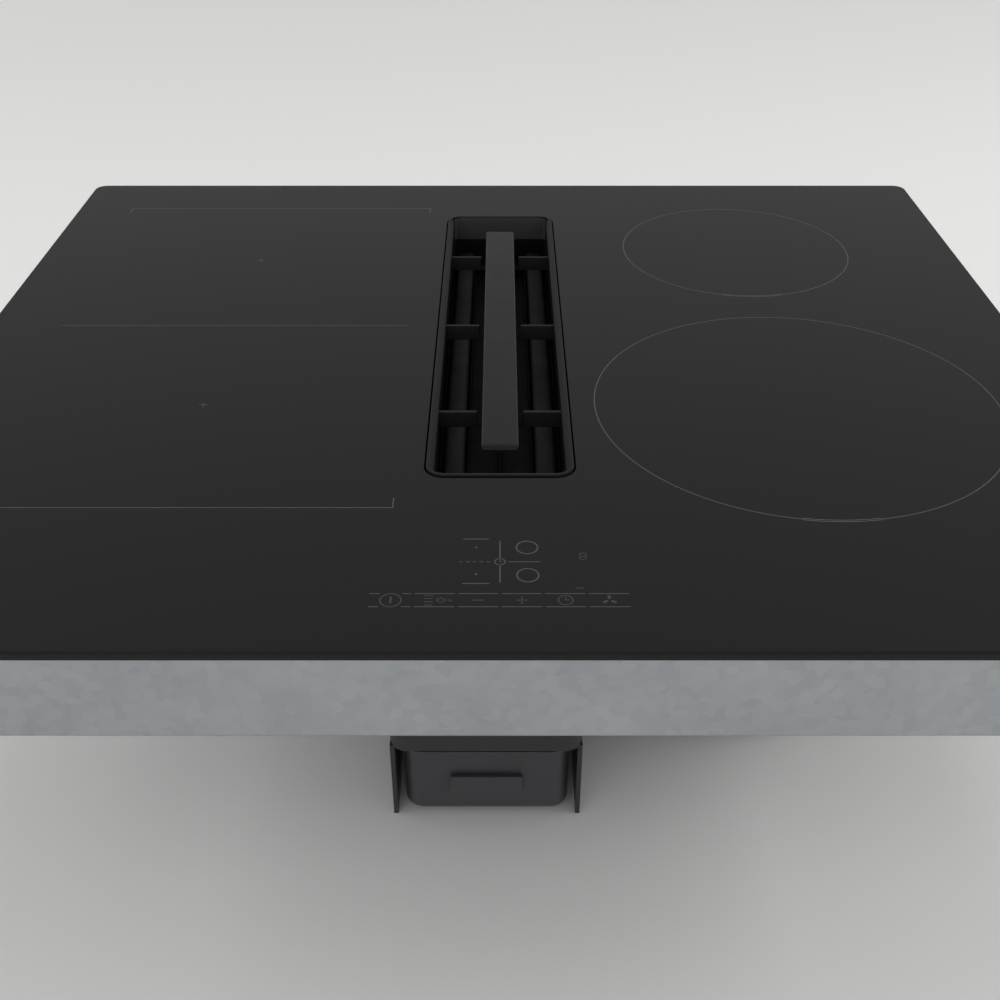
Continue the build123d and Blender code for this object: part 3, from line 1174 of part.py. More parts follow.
def make_outlet_duct():
    """The duct from the scroll's mouth to the flat spigot at the back, with a bead at its end."""
    right = BLOWER_X + SCROLL_RIGHT
    left = BLOWER_X + SCROLL_TONGUE - SCROLL_WALL
    mouth_width = right - left
    mouth_height = CHAMBER_BOTTOM_Z - SCROLL_BOTTOM_Z
    mouth_z = (CHAMBER_BOTTOM_Z + SCROLL_BOTTOM_Z) / 2
    mouth_y = BLOWER_Y + SCROLL_REACH
    end_y = PAN_DEPTH / 2
    spigot_y = end_y - DUCT_SPIGOT
    spigot_x = right - DUCT_WIDTH / 2
    spigot_z = CHAMBER_BOTTOM_Z + BOSS_OFFSET - DUCT_HEIGHT / 2

    def skin(inset):
        """The duct's outline, drawn in by an inset: the transition and the straight spigot."""
        mouth = outlet_frame((left + right) / 2, mouth_y, mouth_z)
        spigot = outlet_frame(spigot_x, spigot_y, spigot_z)
        radius = DUCT_RADIUS - inset
        first = mouth * RectangleRounded(mouth_width - 2 * inset, mouth_height - 2 * inset, radius)
        second = spigot * RectangleRounded(DUCT_WIDTH - 2 * inset, DUCT_HEIGHT - 2 * inset, radius)
        return loft([first, second], ruled=True) + extrude(second, DUCT_SPIGOT)

    duct = skin(0.0)
    bead_frame = outlet_frame(spigot_x, end_y - 3 * DUCT_BEAD_WIDTH, spigot_z)
    bead_width = DUCT_WIDTH + 2 * DUCT_BEAD
    bead_height = DUCT_HEIGHT + 2 * DUCT_BEAD
    bead = RectangleRounded(bead_width, bead_height, DUCT_RADIUS + DUCT_BEAD)
    duct += extrude(bead_frame * bead, DUCT_BEAD_WIDTH)
    return duct - skin(DUCT_WALL)


# ------------------------------------------------------------------ cooling fans
def make_fan_housing(side):
    """The scroll of a cooling fan on the pan's floor, with the stator its wheel turns on."""
    first = FAN_WHEEL_RADIUS + FAN_CLEARANCE
    outside = scroll_outline(first, FAN_STEP, FAN_TONGUE, FAN_REACH, FAN_WALL)
    inside = scroll_outline(first, FAN_STEP, FAN_TONGUE, FAN_REACH + 1)
    body = extrude(outside, FAN_HEIGHT)
    body -= Pos(0, 0, FAN_WALL) * extrude(inside, FAN_HEIGHT - 2 * FAN_WALL)
    body -= rod(FAN_INTAKE_RADIUS, FAN_HEIGHT - 2 * FAN_WALL, FAN_HEIGHT + 1)
    stator_top = FAN_WALL + FAN_FLOOR_GAP + FAN_DOME_HEIGHT - FAN_SHEET - FAN_FLOOR_GAP
    body += rod(FAN_STATOR_RADIUS, FAN_WALL / 2, stator_top)
    body -= rod(FAN_AXLE_RADIUS + BORE_GAP, FAN_WALL, stator_top + 1)
    return Pos(side * FAN_X, FAN_Y, PAN_FLOOR_Z) * body


def make_cooling_rotor(side):
    """The wheel of a cooling fan with its axle."""
    wheel = radial_wheel(
        FAN_WHEEL_RADIUS,
        FAN_BLADE_START,
        FAN_BLADE_COUNT,
        FAN_BLADE_HEIGHT,
        FAN_SHEET,
        FAN_DOME_RADIUS,
        FAN_DOME_HEIGHT,
        FAN_RING,
        BLADE_SWEEP,
        FAN_SHEET,
    )
    wheel += rod(FAN_AXLE_RADIUS, 0, FAN_DOME_HEIGHT)
    return Pos(side * FAN_X, FAN_Y, PAN_FLOOR_Z + FAN_WALL + FAN_FLOOR_GAP) * wheel


# ------------------------------------------------------------------ control box, tray and tank
def make_blower_control_box():
    """The box under the pan that holds the blower's electronics."""
    box = tub(
        BOX_WIDTH,
        BOX_DEPTH,
        PAN_BOTTOM_Z - BOX_HEIGHT,
        PAN_BOTTOM_Z,
        5,
        BOX_WALL,
        BOX_WALL,
        BOX_X,
        BOX_Y,
    )
    return fillet(box.edges().group_by(Axis.Z)[0], BOX_WALL)


def make_drip_tray():
    """The tray that stands in the sump and lifts out through the inlet, with a rolled lip."""
    bottom = SUMP_FLOOR_Z + REST_GAP
    top = bottom + TRAY_HEIGHT
    y = INLET_Y
    tray = slab(TRAY_WIDTH, TRAY_LENGTH, bottom, top, TRAY_RADIUS, y=y)
    tray = fillet(tray.edges().group_by(Axis.Z)[0], 2 * TRAY_WALL)
    lip_width = TRAY_WIDTH + 2 * TRAY_LIP
    lip_length = TRAY_LENGTH + 2 * TRAY_LIP
    tray += slab(lip_width, lip_length, top - TRAY_WALL, top, TRAY_RADIUS + TRAY_LIP, y=y)
    inner_width = TRAY_WIDTH - 2 * TRAY_WALL
    inner_length = TRAY_LENGTH - 2 * TRAY_WALL
    inner_radius = TRAY_RADIUS - TRAY_WALL
    return tray - slab(inner_width, inner_length, bottom + TRAY_WALL, top + 1, inner_radius, y=y)


def make_overflow_container():
    """The tank that hangs by its flanges on the rails under the sump, with a grip in front."""
    inner_width = SUMP_WIDTH - 2 * SUMP_WALL
    flange_width = inner_width - 2 * FIT_GAP
    body_width = inner_width - 2 * (RAIL_WIDTH + SLIP_GAP)
    front = SUMP_FRONT + TANK_END_GAP
    back = SUMP_BACK - SUMP_WALL - TANK_END_GAP
    length = back - front
    y = (front + back) / 2
    radius = SUMP_RADIUS
    tank = slab(body_width, length, TANK_BOTTOM_Z, TANK_TOP_Z, radius, SUMP_X, y)
    tank = fillet(tank.edges().group_by(Axis.Z)[0], 2 * TANK_WALL)
    flange_z = TANK_TOP_Z - TANK_FLANGE
    tank += slab(flange_width, length - 2 * radius, flange_z, TANK_TOP_Z, x=SUMP_X, y=y)
    inner = (body_width - 2 * TANK_WALL, length - 2 * TANK_WALL)
    floor = TANK_BOTTOM_Z + TANK_WALL
    tank -= slab(inner[0], inner[1], floor, TANK_TOP_Z + 1, radius - TANK_WALL, SUMP_X, y)
    grip_y = front - TANK_GRIP / 2
    grip_z = (TANK_TOP_Z + TANK_BOTTOM_Z) / 2
    tank += Pos(SUMP_X, grip_y, grip_z) * Box(TANK_GRIP_WIDTH, TANK_GRIP, TANK_GRIP_HEIGHT)
    return tank


# ------------------------------------------------------------------ assembly
def build_parts():
    """Every piece of the cooktop by the name of its node; a list is a group of equal pieces."""
    parts = {
        "glass_top": make_glass_top(),
        "worktop_seal": make_worktop_seal(),
        "glass_frame": make_glass_frame(),
        "inlet_grille": make_inlet_grille(),
        "grille_bar": make_grille_bar(),
        "filter_frame": make_filter_frame(),
        "upper_baffles": make_upper_baffles(),
        "lower_baffles": make_lower_baffles(),
        "inlet_shaft": make_inlet_shaft(),
        "shaft_gasket": make_shaft_gasket(),
        "base_pan": make_base_pan(),
        "pan_screws": make_pan_screws(),
        "spring_clips": make_spring_clips(),
        "mica_sheets": make_mica_sheets(),
        "temperature_sensors": make_temperature_sensors(),
        "ferrite_bars": make_ferrite_bars(),
        "board_standoffs": make_board_standoffs(),
        "filter_board": make_filter_board(),
        "control_housing": make_control_housing(),
        "control_board": make_control_board(),
        "display_modules": make_display_modules(),
        "terminal_cover": make_terminal_cover(),
        "terminal_block": make_terminal_block(),
        "cable_gland": make_cable_gland(),
        "plenum_cover": make_plenum_cover(),
        "sump": make_sump(),
        "fan_chamber": make_fan_chamber(),
        "housing_screws": make_housing_screws(),
        "scroll_body": make_scroll_body(),
        "scroll_cover": make_scroll_cover(),
        "blower_impeller": make_blower_impeller(),
        "blower_shaft": make_blower_shaft(),
        "blower_motor": make_blower_motor(),
        "motor_bearings": make_motor_bearings(),
        "motor_dampers": make_motor_dampers(),
        "outlet_duct": make_outlet_duct(),
        "blower_control_box": make_blower_control_box(),
        "drip_tray": make_drip_tray(),
        "overflow_container": make_overflow_container(),
    }
    for name, x, y, diameter in ZONES:
        parts["coil_" + name] = make_coil(x, y, diameter)
        parts["coil_carrier_" + name] = make_coil_carrier(x, y, diameter)
    for name, side in SIDES.items():
        parts["coil_plate_" + name] = make_coil_plate(side)
        parts["power_board_" + name] = make_board(BOARD_WIDTH, BOARD_DEPTH, side * BAY_X, BOARD_Y)
        parts["heatsink_" + name] = make_heatsink(side)
        parts["board_components_" + name] = make_board_components(side)
        parts["cooling_fan_housing_" + name] = make_fan_housing(side)
        parts["cooling_rotor_" + name] = make_cooling_rotor(side)
    return parts


def write_parts():
    """Write each node as one STEP file; a group goes in as separate solids."""
    os.makedirs("parts", exist_ok=True)
    for name, shape in build_parts().items():
        pieces = shape if isinstance(shape, list) else [shape]
        solids = [solid for piece in pieces for solid in piece.solids()]
        whole = solids[0] if len(solids) == 1 else Compound(children=solids)
        export_step(whole, f"parts/{name}.step")


write_parts()
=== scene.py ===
"""Looks of a downdraft induction cooktop: its finishes, its smooth surfaces and its studio.

Lengths are millimetres until a mesh is made. X runs to the right, Y to the back and Z up; the
origin is the middle of the glass in plan, at the surface of the worktop.
"""

import sys
import json
import logging
import math
from dataclasses import dataclass, field
from enum import Enum
from typing import Any, Sequence

import bpy
import numpy as np
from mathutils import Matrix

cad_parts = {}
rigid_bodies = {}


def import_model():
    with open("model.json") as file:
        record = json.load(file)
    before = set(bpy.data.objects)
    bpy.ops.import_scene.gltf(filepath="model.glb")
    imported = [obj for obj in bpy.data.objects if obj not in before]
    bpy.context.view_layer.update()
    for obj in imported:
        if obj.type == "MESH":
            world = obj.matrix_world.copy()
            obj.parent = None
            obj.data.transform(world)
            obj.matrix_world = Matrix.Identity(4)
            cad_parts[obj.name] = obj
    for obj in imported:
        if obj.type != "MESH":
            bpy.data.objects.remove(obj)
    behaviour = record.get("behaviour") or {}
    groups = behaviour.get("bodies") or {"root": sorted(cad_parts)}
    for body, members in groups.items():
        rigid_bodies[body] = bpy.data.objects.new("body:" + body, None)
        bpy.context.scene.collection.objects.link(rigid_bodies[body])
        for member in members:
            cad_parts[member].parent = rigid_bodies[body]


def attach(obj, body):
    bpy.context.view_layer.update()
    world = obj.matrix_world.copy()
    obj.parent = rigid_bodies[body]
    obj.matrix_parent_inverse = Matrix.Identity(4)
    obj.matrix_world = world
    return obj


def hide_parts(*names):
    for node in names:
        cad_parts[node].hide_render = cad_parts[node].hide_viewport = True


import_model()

Array = np.ndarray
Corners = Sequence[tuple[float, float]]
Mesh = bpy.types.Mesh
Tree = bpy.types.NodeTree
Socket = bpy.types.NodeSocket
Outputs = bpy.types.NodeOutputs
Inputs = dict[Any, Any]

LOG = logging.getLogger("cooktop")
METRES = 0.001  # a millimetre in metres
GLASS_TOP = 5.0  # height of the upper face of the glass
GLASS_FRONT = -261.0  # its front edge
INLET_Y = 31.0  # middle of the air inlet
STEPS = (-1, 0, 1)  # places of three things in a row, counted from the middle one
CREASE = math.radians(32)  # faces that meet at a larger angle meet in a sharp edge
BEVELLED = math.radians(40)  # sharper edges than this are rounded by a bevel


# ---------------------------------------------------------------- shapes on grids
class Ends(Enum):
    """How the first and the last loop of a stack are finished."""

    CAPPED = "a flat face closes each end"
    JOINED = "the last loop is joined to the first"


class Side(Enum):
    """The two mirrored halves of the cooktop."""

    LEFT = -1
    RIGHT = 1


@dataclass(frozen=True)
class Shape:
    """A closed surface: its corners and its faces, each face a row of corner numbers."""

    points: Array
    faces: tuple[Array, ...]

    def moved(self, x: float = 0.0, y: float = 0.0, z: float = 0.0) -> "Shape":
        """The shape shifted by a distance on each axis."""
        return Shape(self.points + np.array([x, y, z]), self.faces)

    def turned(self, degrees: float, axis: int = 2) -> "Shape":
        """The shape turned about an axis through the origin: its points times the turn's matrix.

        Args:
            degrees: angle, counter-clockwise seen against the axis.
            axis: number of the axis, 0 for X, 1 for Y and 2 for Z.

        Returns:
            The turned shape.
        """
        first, second = [(1, 2), (2, 0), (0, 1)][axis]
        angle = math.radians(degrees)
        turn = np.eye(3)
        turn[first, first] = turn[second, second] = math.cos(angle)
        turn[first, second] = -math.sin(angle)
        turn[second, first] = math.sin(angle)
        return Shape(self.points @ turn.T, self.faces)

    def swapped(self, order: tuple[int, int, int]) -> "Shape":
        """The shape with its coordinates in another order, still facing outwards."""
        return outward(Shape(self.points[:, order], self.faces))

    def mirrored(self) -> "Shape":
        """The shape mirrored from one side of the cooktop to the other."""
        return outward(Shape(self.points * np.array([-1.0, 1.0, 1.0]), self.faces))


def outward(shape: Shape) -> Shape:
    """Turn the faces of a closed shape outwards.

    The volume is a sixth of the sum, over the triangles of each face's fan, of the corners'
    triple product; where it is negative the corners of every face are taken in reverse.

    Args:
        shape: a closed surface with all its faces turned the same way.

    Returns:
        The same surface with its faces turned outwards.
    """
    volume = 0.0
    centred = shape.points - shape.points.mean(axis=0)
    for block in shape.faces:
        first = centred[block[:, 0]]
        for corner in range(1, block.shape[1] - 1):
            second, third = centred[block[:, corner]], centred[block[:, corner + 1]]
            volume += float(np.einsum("ij,ij->", first, np.cross(second, third)))
    if volume >= 0.0:
        return shape
    return Shape(shape.points, tuple(block[:, ::-1] for block in shape.faces))


def join(shapes: Sequence[Shape]) -> Shape:
    """Put several shapes into one, corner numbers following on from shape to shape."""
    starts = np.cumsum([0] + [len(shape.points) for shape in shapes[:-1]])
    faces = [block + start for shape, start in zip(shapes, starts) for block in shape.faces]
    return Shape(np.concatenate([shape.points for shape in shapes]), tuple(faces))


def grid(points: Array, ends: Ends) -> Shape:
    """A tube of quadrilaterals over a grid of points.

    Loop k runs through points[k]; each face joins two neighbours of one loop to the same two
    of the next loop, and the last point of a loop is joined to its first.

    Args:
        points: array of loops, points and coordinates.
        ends: how the first and the last loop are finished.

    Returns:
        The closed surface.
    """
    loops, around = points.shape[:2]
    number = np.arange(loops * around).reshape(loops, around)
    rows = np.concatenate([number, number[:1]]) if ends is Ends.JOINED else number
    rows = np.concatenate([rows, rows[:, :1]], axis=1)
    quads = np.stack([rows[:-1, :-1], rows[1:, :-1], rows[1:, 1:], rows[:-1, 1:]], axis=-1)
    faces = [quads.reshape(-1, 4)]
    if ends is Ends.CAPPED:
        faces += [number[:1], number[-1:, ::-1]]
    return outward(Shape(points.reshape(-1, 3), tuple(faces)))


def soften(corners: Corners, radii: Sequence[float], closed: bool = False) -> Array:
    """Round the corners of a line of straight runs.

    Each corner c becomes a quadratic curve from a point one radius before it to one a radius
    after it, (1-t)^2 a + 2t(1-t) c + t^2 b. A point where two curves meet is taken once.

    Args:
        corners: the points where the runs meet, in two coordinates.
        radii: rounding at each corner, nothing for a sharp one.
        closed: whether the last corner is joined to the first.

    Returns:
        The points of the rounded line.
    """
    points = np.asarray(corners, float)
    last = len(points) - 1
    parts = []
    for index, radius in enumerate(radii):
        corner = points[index]
        if radius <= 0 or (not closed and index in (0, last)):
            parts.append(corner[None])
            continue
        before = points[index - 1] - corner
        after = points[(index + 1) % len(points)] - corner
        start = corner + before * min(radius / np.linalg.norm(before), 0.5)
        end = corner + after * min(radius / np.linalg.norm(after), 0.5)
        t = np.linspace(0.0, 1.0, 6)[:, None]
        parts.append((1 - t) ** 2 * start + 2 * t * (1 - t) * corner + t**2 * end)
    line = np.concatenate(parts)
    apart = np.linalg.norm(np.diff(line, axis=0), axis=1) > 1e-6
    return line[np.concatenate([[True], apart])]


@dataclass(frozen=True)
class Plan:
    """A rectangle with round corners, seen from above, along which a profile is carried."""

    width: float
    depth: float
    radius: float
    x: float = 0.0
    y: float = 0.0
    steps: int = 8

    def loops(self, profile: Array) -> Array:
        """Carry a profile round the rectangle.

        A profile point is a distance outwards and a height. Its loop has the rectangle's
        corner centres, or nearer ones where the distance uses the radius up, plus the radius
        and that distance times the cosine and sine of an angle that runs a quarter turn in
        each corner.

        Args:
            profile: array of distances outwards and heights.

        Returns:
            Array of loops, points and coordinates.
        """
        out, height = profile[:, 0:1, None], profile[:, 1:2, None]
        radius = np.maximum(self.radius + out, 0.05)
        quarter = np.linspace(0.0, np.pi / 2, self.steps + 1)
        angle = quarter[None, :] + np.pi / 2 * np.arange(4)[:, None]
        side_x = np.array([1.0, -1.0, -1.0, 1.0])[None, :, None]
        side_y = np.array([1.0, 1.0, -1.0, -1.0])[None, :, None]
        x = self.x + side_x * (self.width / 2 + out - radius) + radius * np.cos(angle)[None]
        y = self.y + side_y * (self.depth / 2 + out - radius) + radius * np.sin(angle)[None]
        z = np.broadcast_to(height, x.shape)
        return np.stack([x, y, z], axis=-1).reshape(len(profile), -1, 3)


def ring(plan: Plan, corners: Corners, radii: Sequence[float]) -> Shape:
    """A closed frame: a closed profile with rounded corners carried round a plan."""
    return grid(plan.loops(soften(corners, radii, closed=True)), Ends.JOINED)


def block(plan: Plan, bottom: float, top: float, edge: float = 0.3, foot: float = 0.3) -> Shape:
    """A solid block on a plan, its upper edge rounded by one radius and its lower by another."""
    inside = -min(plan.width, plan.depth) / 2.2
    corners = [(inside, bottom), (0.0, bottom), (0.0, top), (inside, top)]
    profile = soften(corners, [0.0, foot, edge, 0.0])[1:-1]
    return grid(plan.loops(profile), Ends.CAPPED)


def tub(plan: Plan, bottom: float, top: float, wall: float, foot: float, rim: float = 0.4) -> Shape:
    """An open box: up the outside, over the rim and down to the floor inside."""
    inside = -min(plan.width, plan.depth) / 2.2
    outside = [(inside, bottom), (0.0, bottom), (0.0, top)]
    corners = outside + [(-wall, top), (-wall, bottom + wall), (inside, bottom + wall)]
    profile = soften(corners, [0.0, foot, rim, rim, max(foot - wall, 0.5), 0.0])[1:-1]
    return grid(plan.loops(profile), Ends.CAPPED)


def full_turn(steps: int) -> Array:
    """Even angles round a full turn, from 0 to the one before the last."""
    return np.linspace(0.0, 2 * np.pi, steps, endpoint=False)


def turned_rows(rows: Sequence[tuple[Array, float]], ends: Ends) -> Shape:
    """A shape about the Z axis, whose loops may be other than round.

    A loop's points are its radius at each angle times the angle's cosine and sine.

    Args:
        rows: for each loop, its radius at even angles and its height.
        ends: how the first and the last loop are finished.

    Returns:
        The shape.
    """
    around = np.stack([radii for radii, _ in rows])
    angle = full_turn(around.shape[1])
    level = np.array([height for _, height in rows])[:, None] + 0 * around
    return grid(np.stack([around * np.cos(angle), around * np.sin(angle), level], axis=-1), ends)


def lathe(profile: Array, x: float, y: float, ends: Ends, steps: int = 64) -> Shape:
    """Turn a profile of radii and heights about an upright axis at a place."""
    return turned_rows([(np.full(steps, radius), height) for radius, height in profile], ends).moved(x, y)


def disc(
    radius: float, bottom: float, top: float, x: float, y: float, edge: float = 0.3, steps: int = 48
) -> Shape:
    """A solid cylinder with softened edges."""
    corners = [(0.02, bottom), (radius, bottom), (radius, top), (0.02, top)]
    return lathe(soften(corners, [0, edge, edge, 0]), x, y, Ends.CAPPED, steps)


def pipe(outer: float, inner: float, bottom: float, top: float, x: float, y: float, steps: int = 64) -> Shape:
    """A hollow cylinder with softened edges."""
    corners = [(outer, bottom), (outer, top), (inner, top), (inner, bottom)]
    return lathe(soften(corners, [0.3] * 4, closed=True), x, y, Ends.JOINED, steps)


def prism(outline: Array, bottom: float, top: float) -> Shape:
    """An outline in X and Y carried straight up between two heights."""
    loops = np.repeat(outline[None], 2, axis=0)
    height = np.broadcast_to(np.array([bottom, top])[:, None, None], loops.shape[:2] + (1,))
    return grid(np.concatenate([loops, height], axis=-1), Ends.CAPPED)


def along_y(outline: Array, length: float, y: float) -> Shape:
    """An outline in X and Z carried along Y for a length centred on y."""
    return prism(outline, y - length / 2, y + length / 2).swapped((0, 2, 1))


def side_normals(path: Array, closed: bool) -> Array:
    """Unit vectors square to a flat path, each the mean direction of its two runs turned right."""
    runs = np.diff(np.concatenate([path, path[:1]]) if closed else path, axis=0)
    runs /= np.linalg.norm(runs, axis=1, keepdims=True)
    if closed:
        mean = runs + np.roll(runs, 1, axis=0)
    else:
        mean = np.concatenate([runs[:1], runs[1:] + runs[:-1], runs[-1:]])
    half = np.linalg.norm(mean, axis=1, keepdims=True)
    mean /= half
    stretch = np.ones_like(half)
    inner = slice(None) if closed else slice(1, -1)
    stretch[inner] = 1.0 / np.maximum(half[inner] / 2, 0.35)  # keeps the thickness round a bend
    return np.stack([mean[:, 1], -mean[:, 0]], axis=-1) * stretch


def sheet_outline(path: Array, thickness: float) -> Array:
    """The outline of a bent sheet: its middle line moved half the thickness each way."""
    shift = side_normals(path, closed=False) * thickness / 2
    return np.concatenate([path + shift, (path - shift)[::-1]])


def wall(path: Array, thickness: float, bottom: float, top: float, closed: bool = False) -> Shape:
    """A wall of even thickness that follows a path in plan.

    Each path point gives the four corners of the wall's section: half the thickness to each
    side of the path, at the lower and at the upper height.

    Args:
        path: points of the wall's middle line in X and Y.
        thickness: across the wall.
        bottom: height of its lower edge.
        top: height of its upper edge.
        closed: whether the path's end is joined to its start.

    Returns:
        The closed surface of the wall.
    """
    shift = side_normals(path, closed) * thickness / 2
    right, left = path + shift, path - shift
    section = np.stack([right, right, left, left], axis=1)
    level = np.array([bottom, top, top, bottom])[None, :, None]
    height = np.broadcast_to(level, section.shape[:2] + (1,))
    return grid(np.concatenate([section, height], axis=-1), Ends.JOINED if closed else Ends.CAPPED)


def arc(x: float, y: float, radius: float, start: float, sweep: float, count: int) -> Array:
    """Points on a circle: its centre plus the radius times cosine and sine of even angles."""
    angle = np.radians(np.linspace(start, start + sweep, count))
    return np.stack([x + radius * np.cos(angle), y + radius * np.sin(angle)], axis=-1)


# ---------------------------------------------------------------- pieces
def mesh_of(name: str, shape: Shape) -> Mesh:
    """Put a shape into a mesh, in metres, smooth except along its sharp edges."""
    mesh = bpy.data.meshes.new(name)
    faces = [corners for rows in shape.faces for corners in rows.tolist()]
    mesh.from_pydata((shape.points * METRES).tolist(), [], faces)
    mesh.validate()
    soft_shading(mesh)
    return mesh


def soft_shading(mesh: Mesh) -> None:
    """Shade a mesh smooth, with a crease along its sharp edges."""
    mesh.shade_smooth()
    mesh.set_sharp_from_angle(angle=CREASE)


def cut_mesh(name: str, shape: Shape, holes: Sequence[Shape]) -> Mesh:
    """Make a mesh from a shape with holes cut through it.

    Args:
        name: name of the mesh.
        shape: the closed shape that is cut.
        holes: closed shapes that are taken out of it, apart from each other.

    Returns:
        The mesh, in metres.
    """
    scene = bpy.context.scene.collection.objects
    piece = bpy.data.objects.new("uncut", mesh_of(name, shape))
    tool = bpy.data.objects.new("cutter", mesh_of("cutter", join(holes)))
    scene.link(piece)
    scene.link(tool)
    cut = piece.modifiers.new("cut", "BOOLEAN")
    cut.operation, cut.solver, cut.object = "DIFFERENCE", "EXACT", tool
    evaluated = piece.evaluated_get(bpy.context.evaluated_depsgraph_get())
    mesh = bpy.data.meshes.new_from_object(evaluated)
    bpy.data.objects.remove(piece)
    bpy.data.objects.remove(tool)
    soft_shading(mesh)
    return mesh


@dataclass
class SubAssembly:
    """A group of pieces that are built and dressed together."""

    made: list[str] = field(default_factory=list, init=False)

    def add(
        self,
        name: str,
        shape: Shape,
        stands_for: Sequence[str] = (),
        body: str = "chassis",
        bevel: float = 0.0,
        holes: Sequence[Shape] = (),
    ) -> bpy.types.Object:
        """Add a piece made from a shape, which rides on a body.

        Args:
            name: name of the piece.
            shape: its shape.
            stands_for: CAD nodes that it replaces.
            body: CAD body that it moves with.
            bevel: width of the rounding of its sharp edges, nothing for none.
            holes: shapes that are cut out of it.

        Returns:
            The new object.
        """
        mesh = cut_mesh(name, shape, holes) if holes else mesh_of(name, shape)
        piece = bpy.data.objects.new(name, mesh)
        bpy.context.scene.collection.objects.link(piece)
        if bevel:
            rounding = piece.modifiers.new("edges", "BEVEL")
            rounding.width, rounding.segments = bevel * METRES, 2
            rounding.limit_method, rounding.angle_limit = "ANGLE", BEVELLED
        piece.modifiers.new("shading", "WEIGHTED_NORMAL").keep_sharp = True
        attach(piece, body)
        if stands_for:
            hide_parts(*stands_for)
        self.made.append(name)
        return piece

    def coat(self, finish: "Finish", *names: str) -> None:
        """Give pieces or CAD nodes their finish.

        Args:
            finish: the finish that they all get.
            names: pieces made here, or CAD nodes that are shown as they are.
        """
        for name in names:
            piece = bpy.data.objects[name]
            piece.data.materials.clear()
            piece.data.materials.append(finish.material())
            LOG.info("%s: %s", name, finish.name)

    def coat_part(self, finish: "Finish", name: str, faces: Array) -> None:
        """Give some faces of a piece a finish of their own.

        Args:
            finish: the finish of these faces.
            name: the piece, already coated.
            faces: for each face, whether it gets this finish.
        """
        mesh = bpy.data.objects[name].data
        mesh.materials.append(finish.material())
        index = np.zeros(len(mesh.polygons), dtype=np.int32)
        mesh.polygons.foreach_get("material_index", index)
        index[faces] = len(mesh.materials) - 1
        mesh.polygons.foreach_set("material_index", index)
        LOG.info("%s, %d faces: %s", name, int(faces.sum()), finish.name)

    def build(self) -> None:
        """Make the meshes of the group."""

    def dress(self) -> None:
        """Give the group its finishes."""


def facing(mesh: Mesh) -> tuple[Array, Array]:
    """The centres and the normals of a mesh's faces, as two arrays."""
    centres, normals = np.empty((2, len(mesh.polygons) * 3))
    mesh.polygons.foreach_get("center", centres)
    mesh.polygons.foreach_get("normal", normals)
    return centres.reshape(-1, 3), normals.reshape(-1, 3)


# ---------------------------------------------------------------- finishes
MIDDLE = {1: 0.3, 2: 0.7}  # between these lie most values of a noise; inputs 1 and 2 of a Map Range
BANDS = 3.15  # bands of a wave texture in a metre, at a scale of 1


def linear(colour: str) -> tuple[float, float, float, float]:
    """The linear red, green and blue of an sRGB hex value such as #1c1c1e, and an alpha of 1."""
    value = np.array([int(colour[i : i + 2], 16) for i in (1, 3, 5)]) / 255.0
    low, high = value / 12.92, ((value + 0.055) / 1.055) ** 2.4
    return (*np.where(value <= 0.04045, low, high).tolist(), 1.0)


def per_metre(millimetres: float) -> float:
    """The scale that repeats a pattern once in that many millimetres of Object coordinates."""
    return 1000.0 / millimetres


def add_node(tree: Tree, kind: str, inputs: Inputs | None = None, **settings: Any) -> Outputs:
    """Add a shader node, set its fields and fill or link its inputs.

    An input that shares its name with another is given by its number. Of a Map Range 0 is the
    value, 1 and 2 its old limits and 3 and 4 the new ones, at first 0 and 1; of a Mix 0 is the
    share, 2 and 3 are the two numbers and 6 and 7 the two colours, and output 2 is the colour.

    Args:
        tree: the node tree.
        kind: Blender's type name of the node, without ShaderNode in front.
        inputs: for an input's name or number, a value or the output linked to it.
        settings: values of the node's own fields.

    Returns:
        The outputs of the new node.
    """
    node = tree.nodes.new("ShaderNode" + kind)
    for name, value in settings.items():
        setattr(node, name, value)
    for name, value in (inputs or {}).items():
        if isinstance(value, Socket):
            tree.links.new(value, node.inputs[name])
        else:
            node.inputs[name].default_value = value
    return node.outputs


@dataclass(frozen=True)
class Finish:
    """A surface finish: its name in the maker's words and the record's slot it belongs to."""

    name: str
    slot: str
    colour: str = "#1b1b1c"

    def material(self) -> bpy.types.Material:
        """The Blender material of the finish, made the first time it is asked for."""
        found = bpy.data.materials.get(self.name)
        if found:
            return found
        made = bpy.data.materials.new(self.name)
        made.use_nodes = True
        tree = made.node_tree
        tree.nodes.clear()
        inputs = self.surface(tree, add_node(tree, "TexCoord")["Object"])
        shader = add_node(tree, "BsdfPrincipled", inputs)
        add_node(tree, "OutputMaterial", {"Surface": shader[0]})
        return made

    def surface(self, tree: Tree, place: Socket) -> Inputs:
        """Add the pattern of the finish.

        Args:
            tree: the material's node tree.
            place: the Object coordinates.

        Returns:
            What goes into each input of the Principled shader.
        """
        raise NotImplementedError


@dataclass(frozen=True)
class PolishedCeramic(Finish):
    """Glass ceramic, rolled and fire-polished: near black inside, a clear even reflection on
    top that gets stronger towards the back, hardly broken by the roll's long soft waves."""

    colour: str = "#141415"
    rough: float = 0.055
    haze: float = 0.03
    wave: float = 55.0
    depth: float = 0.0015

    def surface(self, tree: Tree, place: Socket) -> Inputs:
        """Add the wave and the haze of the polish, as Finish.surface."""
        wave = add_node(tree, "TexNoise", {"Vector": place, "Scale": per_metre(self.wave), "Detail": 2.0})
        haze = add_node(tree, "MapRange", {0: wave[0], **MIDDLE, 3: self.rough, 4: self.rough + self.haze})
        bump = add_node(tree, "Bump", {"Height": wave[0], "Distance": self.depth * METRES})
        tone = linear(self.colour)
        return {"Base Color": tone, "Roughness": haze[0], "Normal": bump[0], "IOR": 1.5}


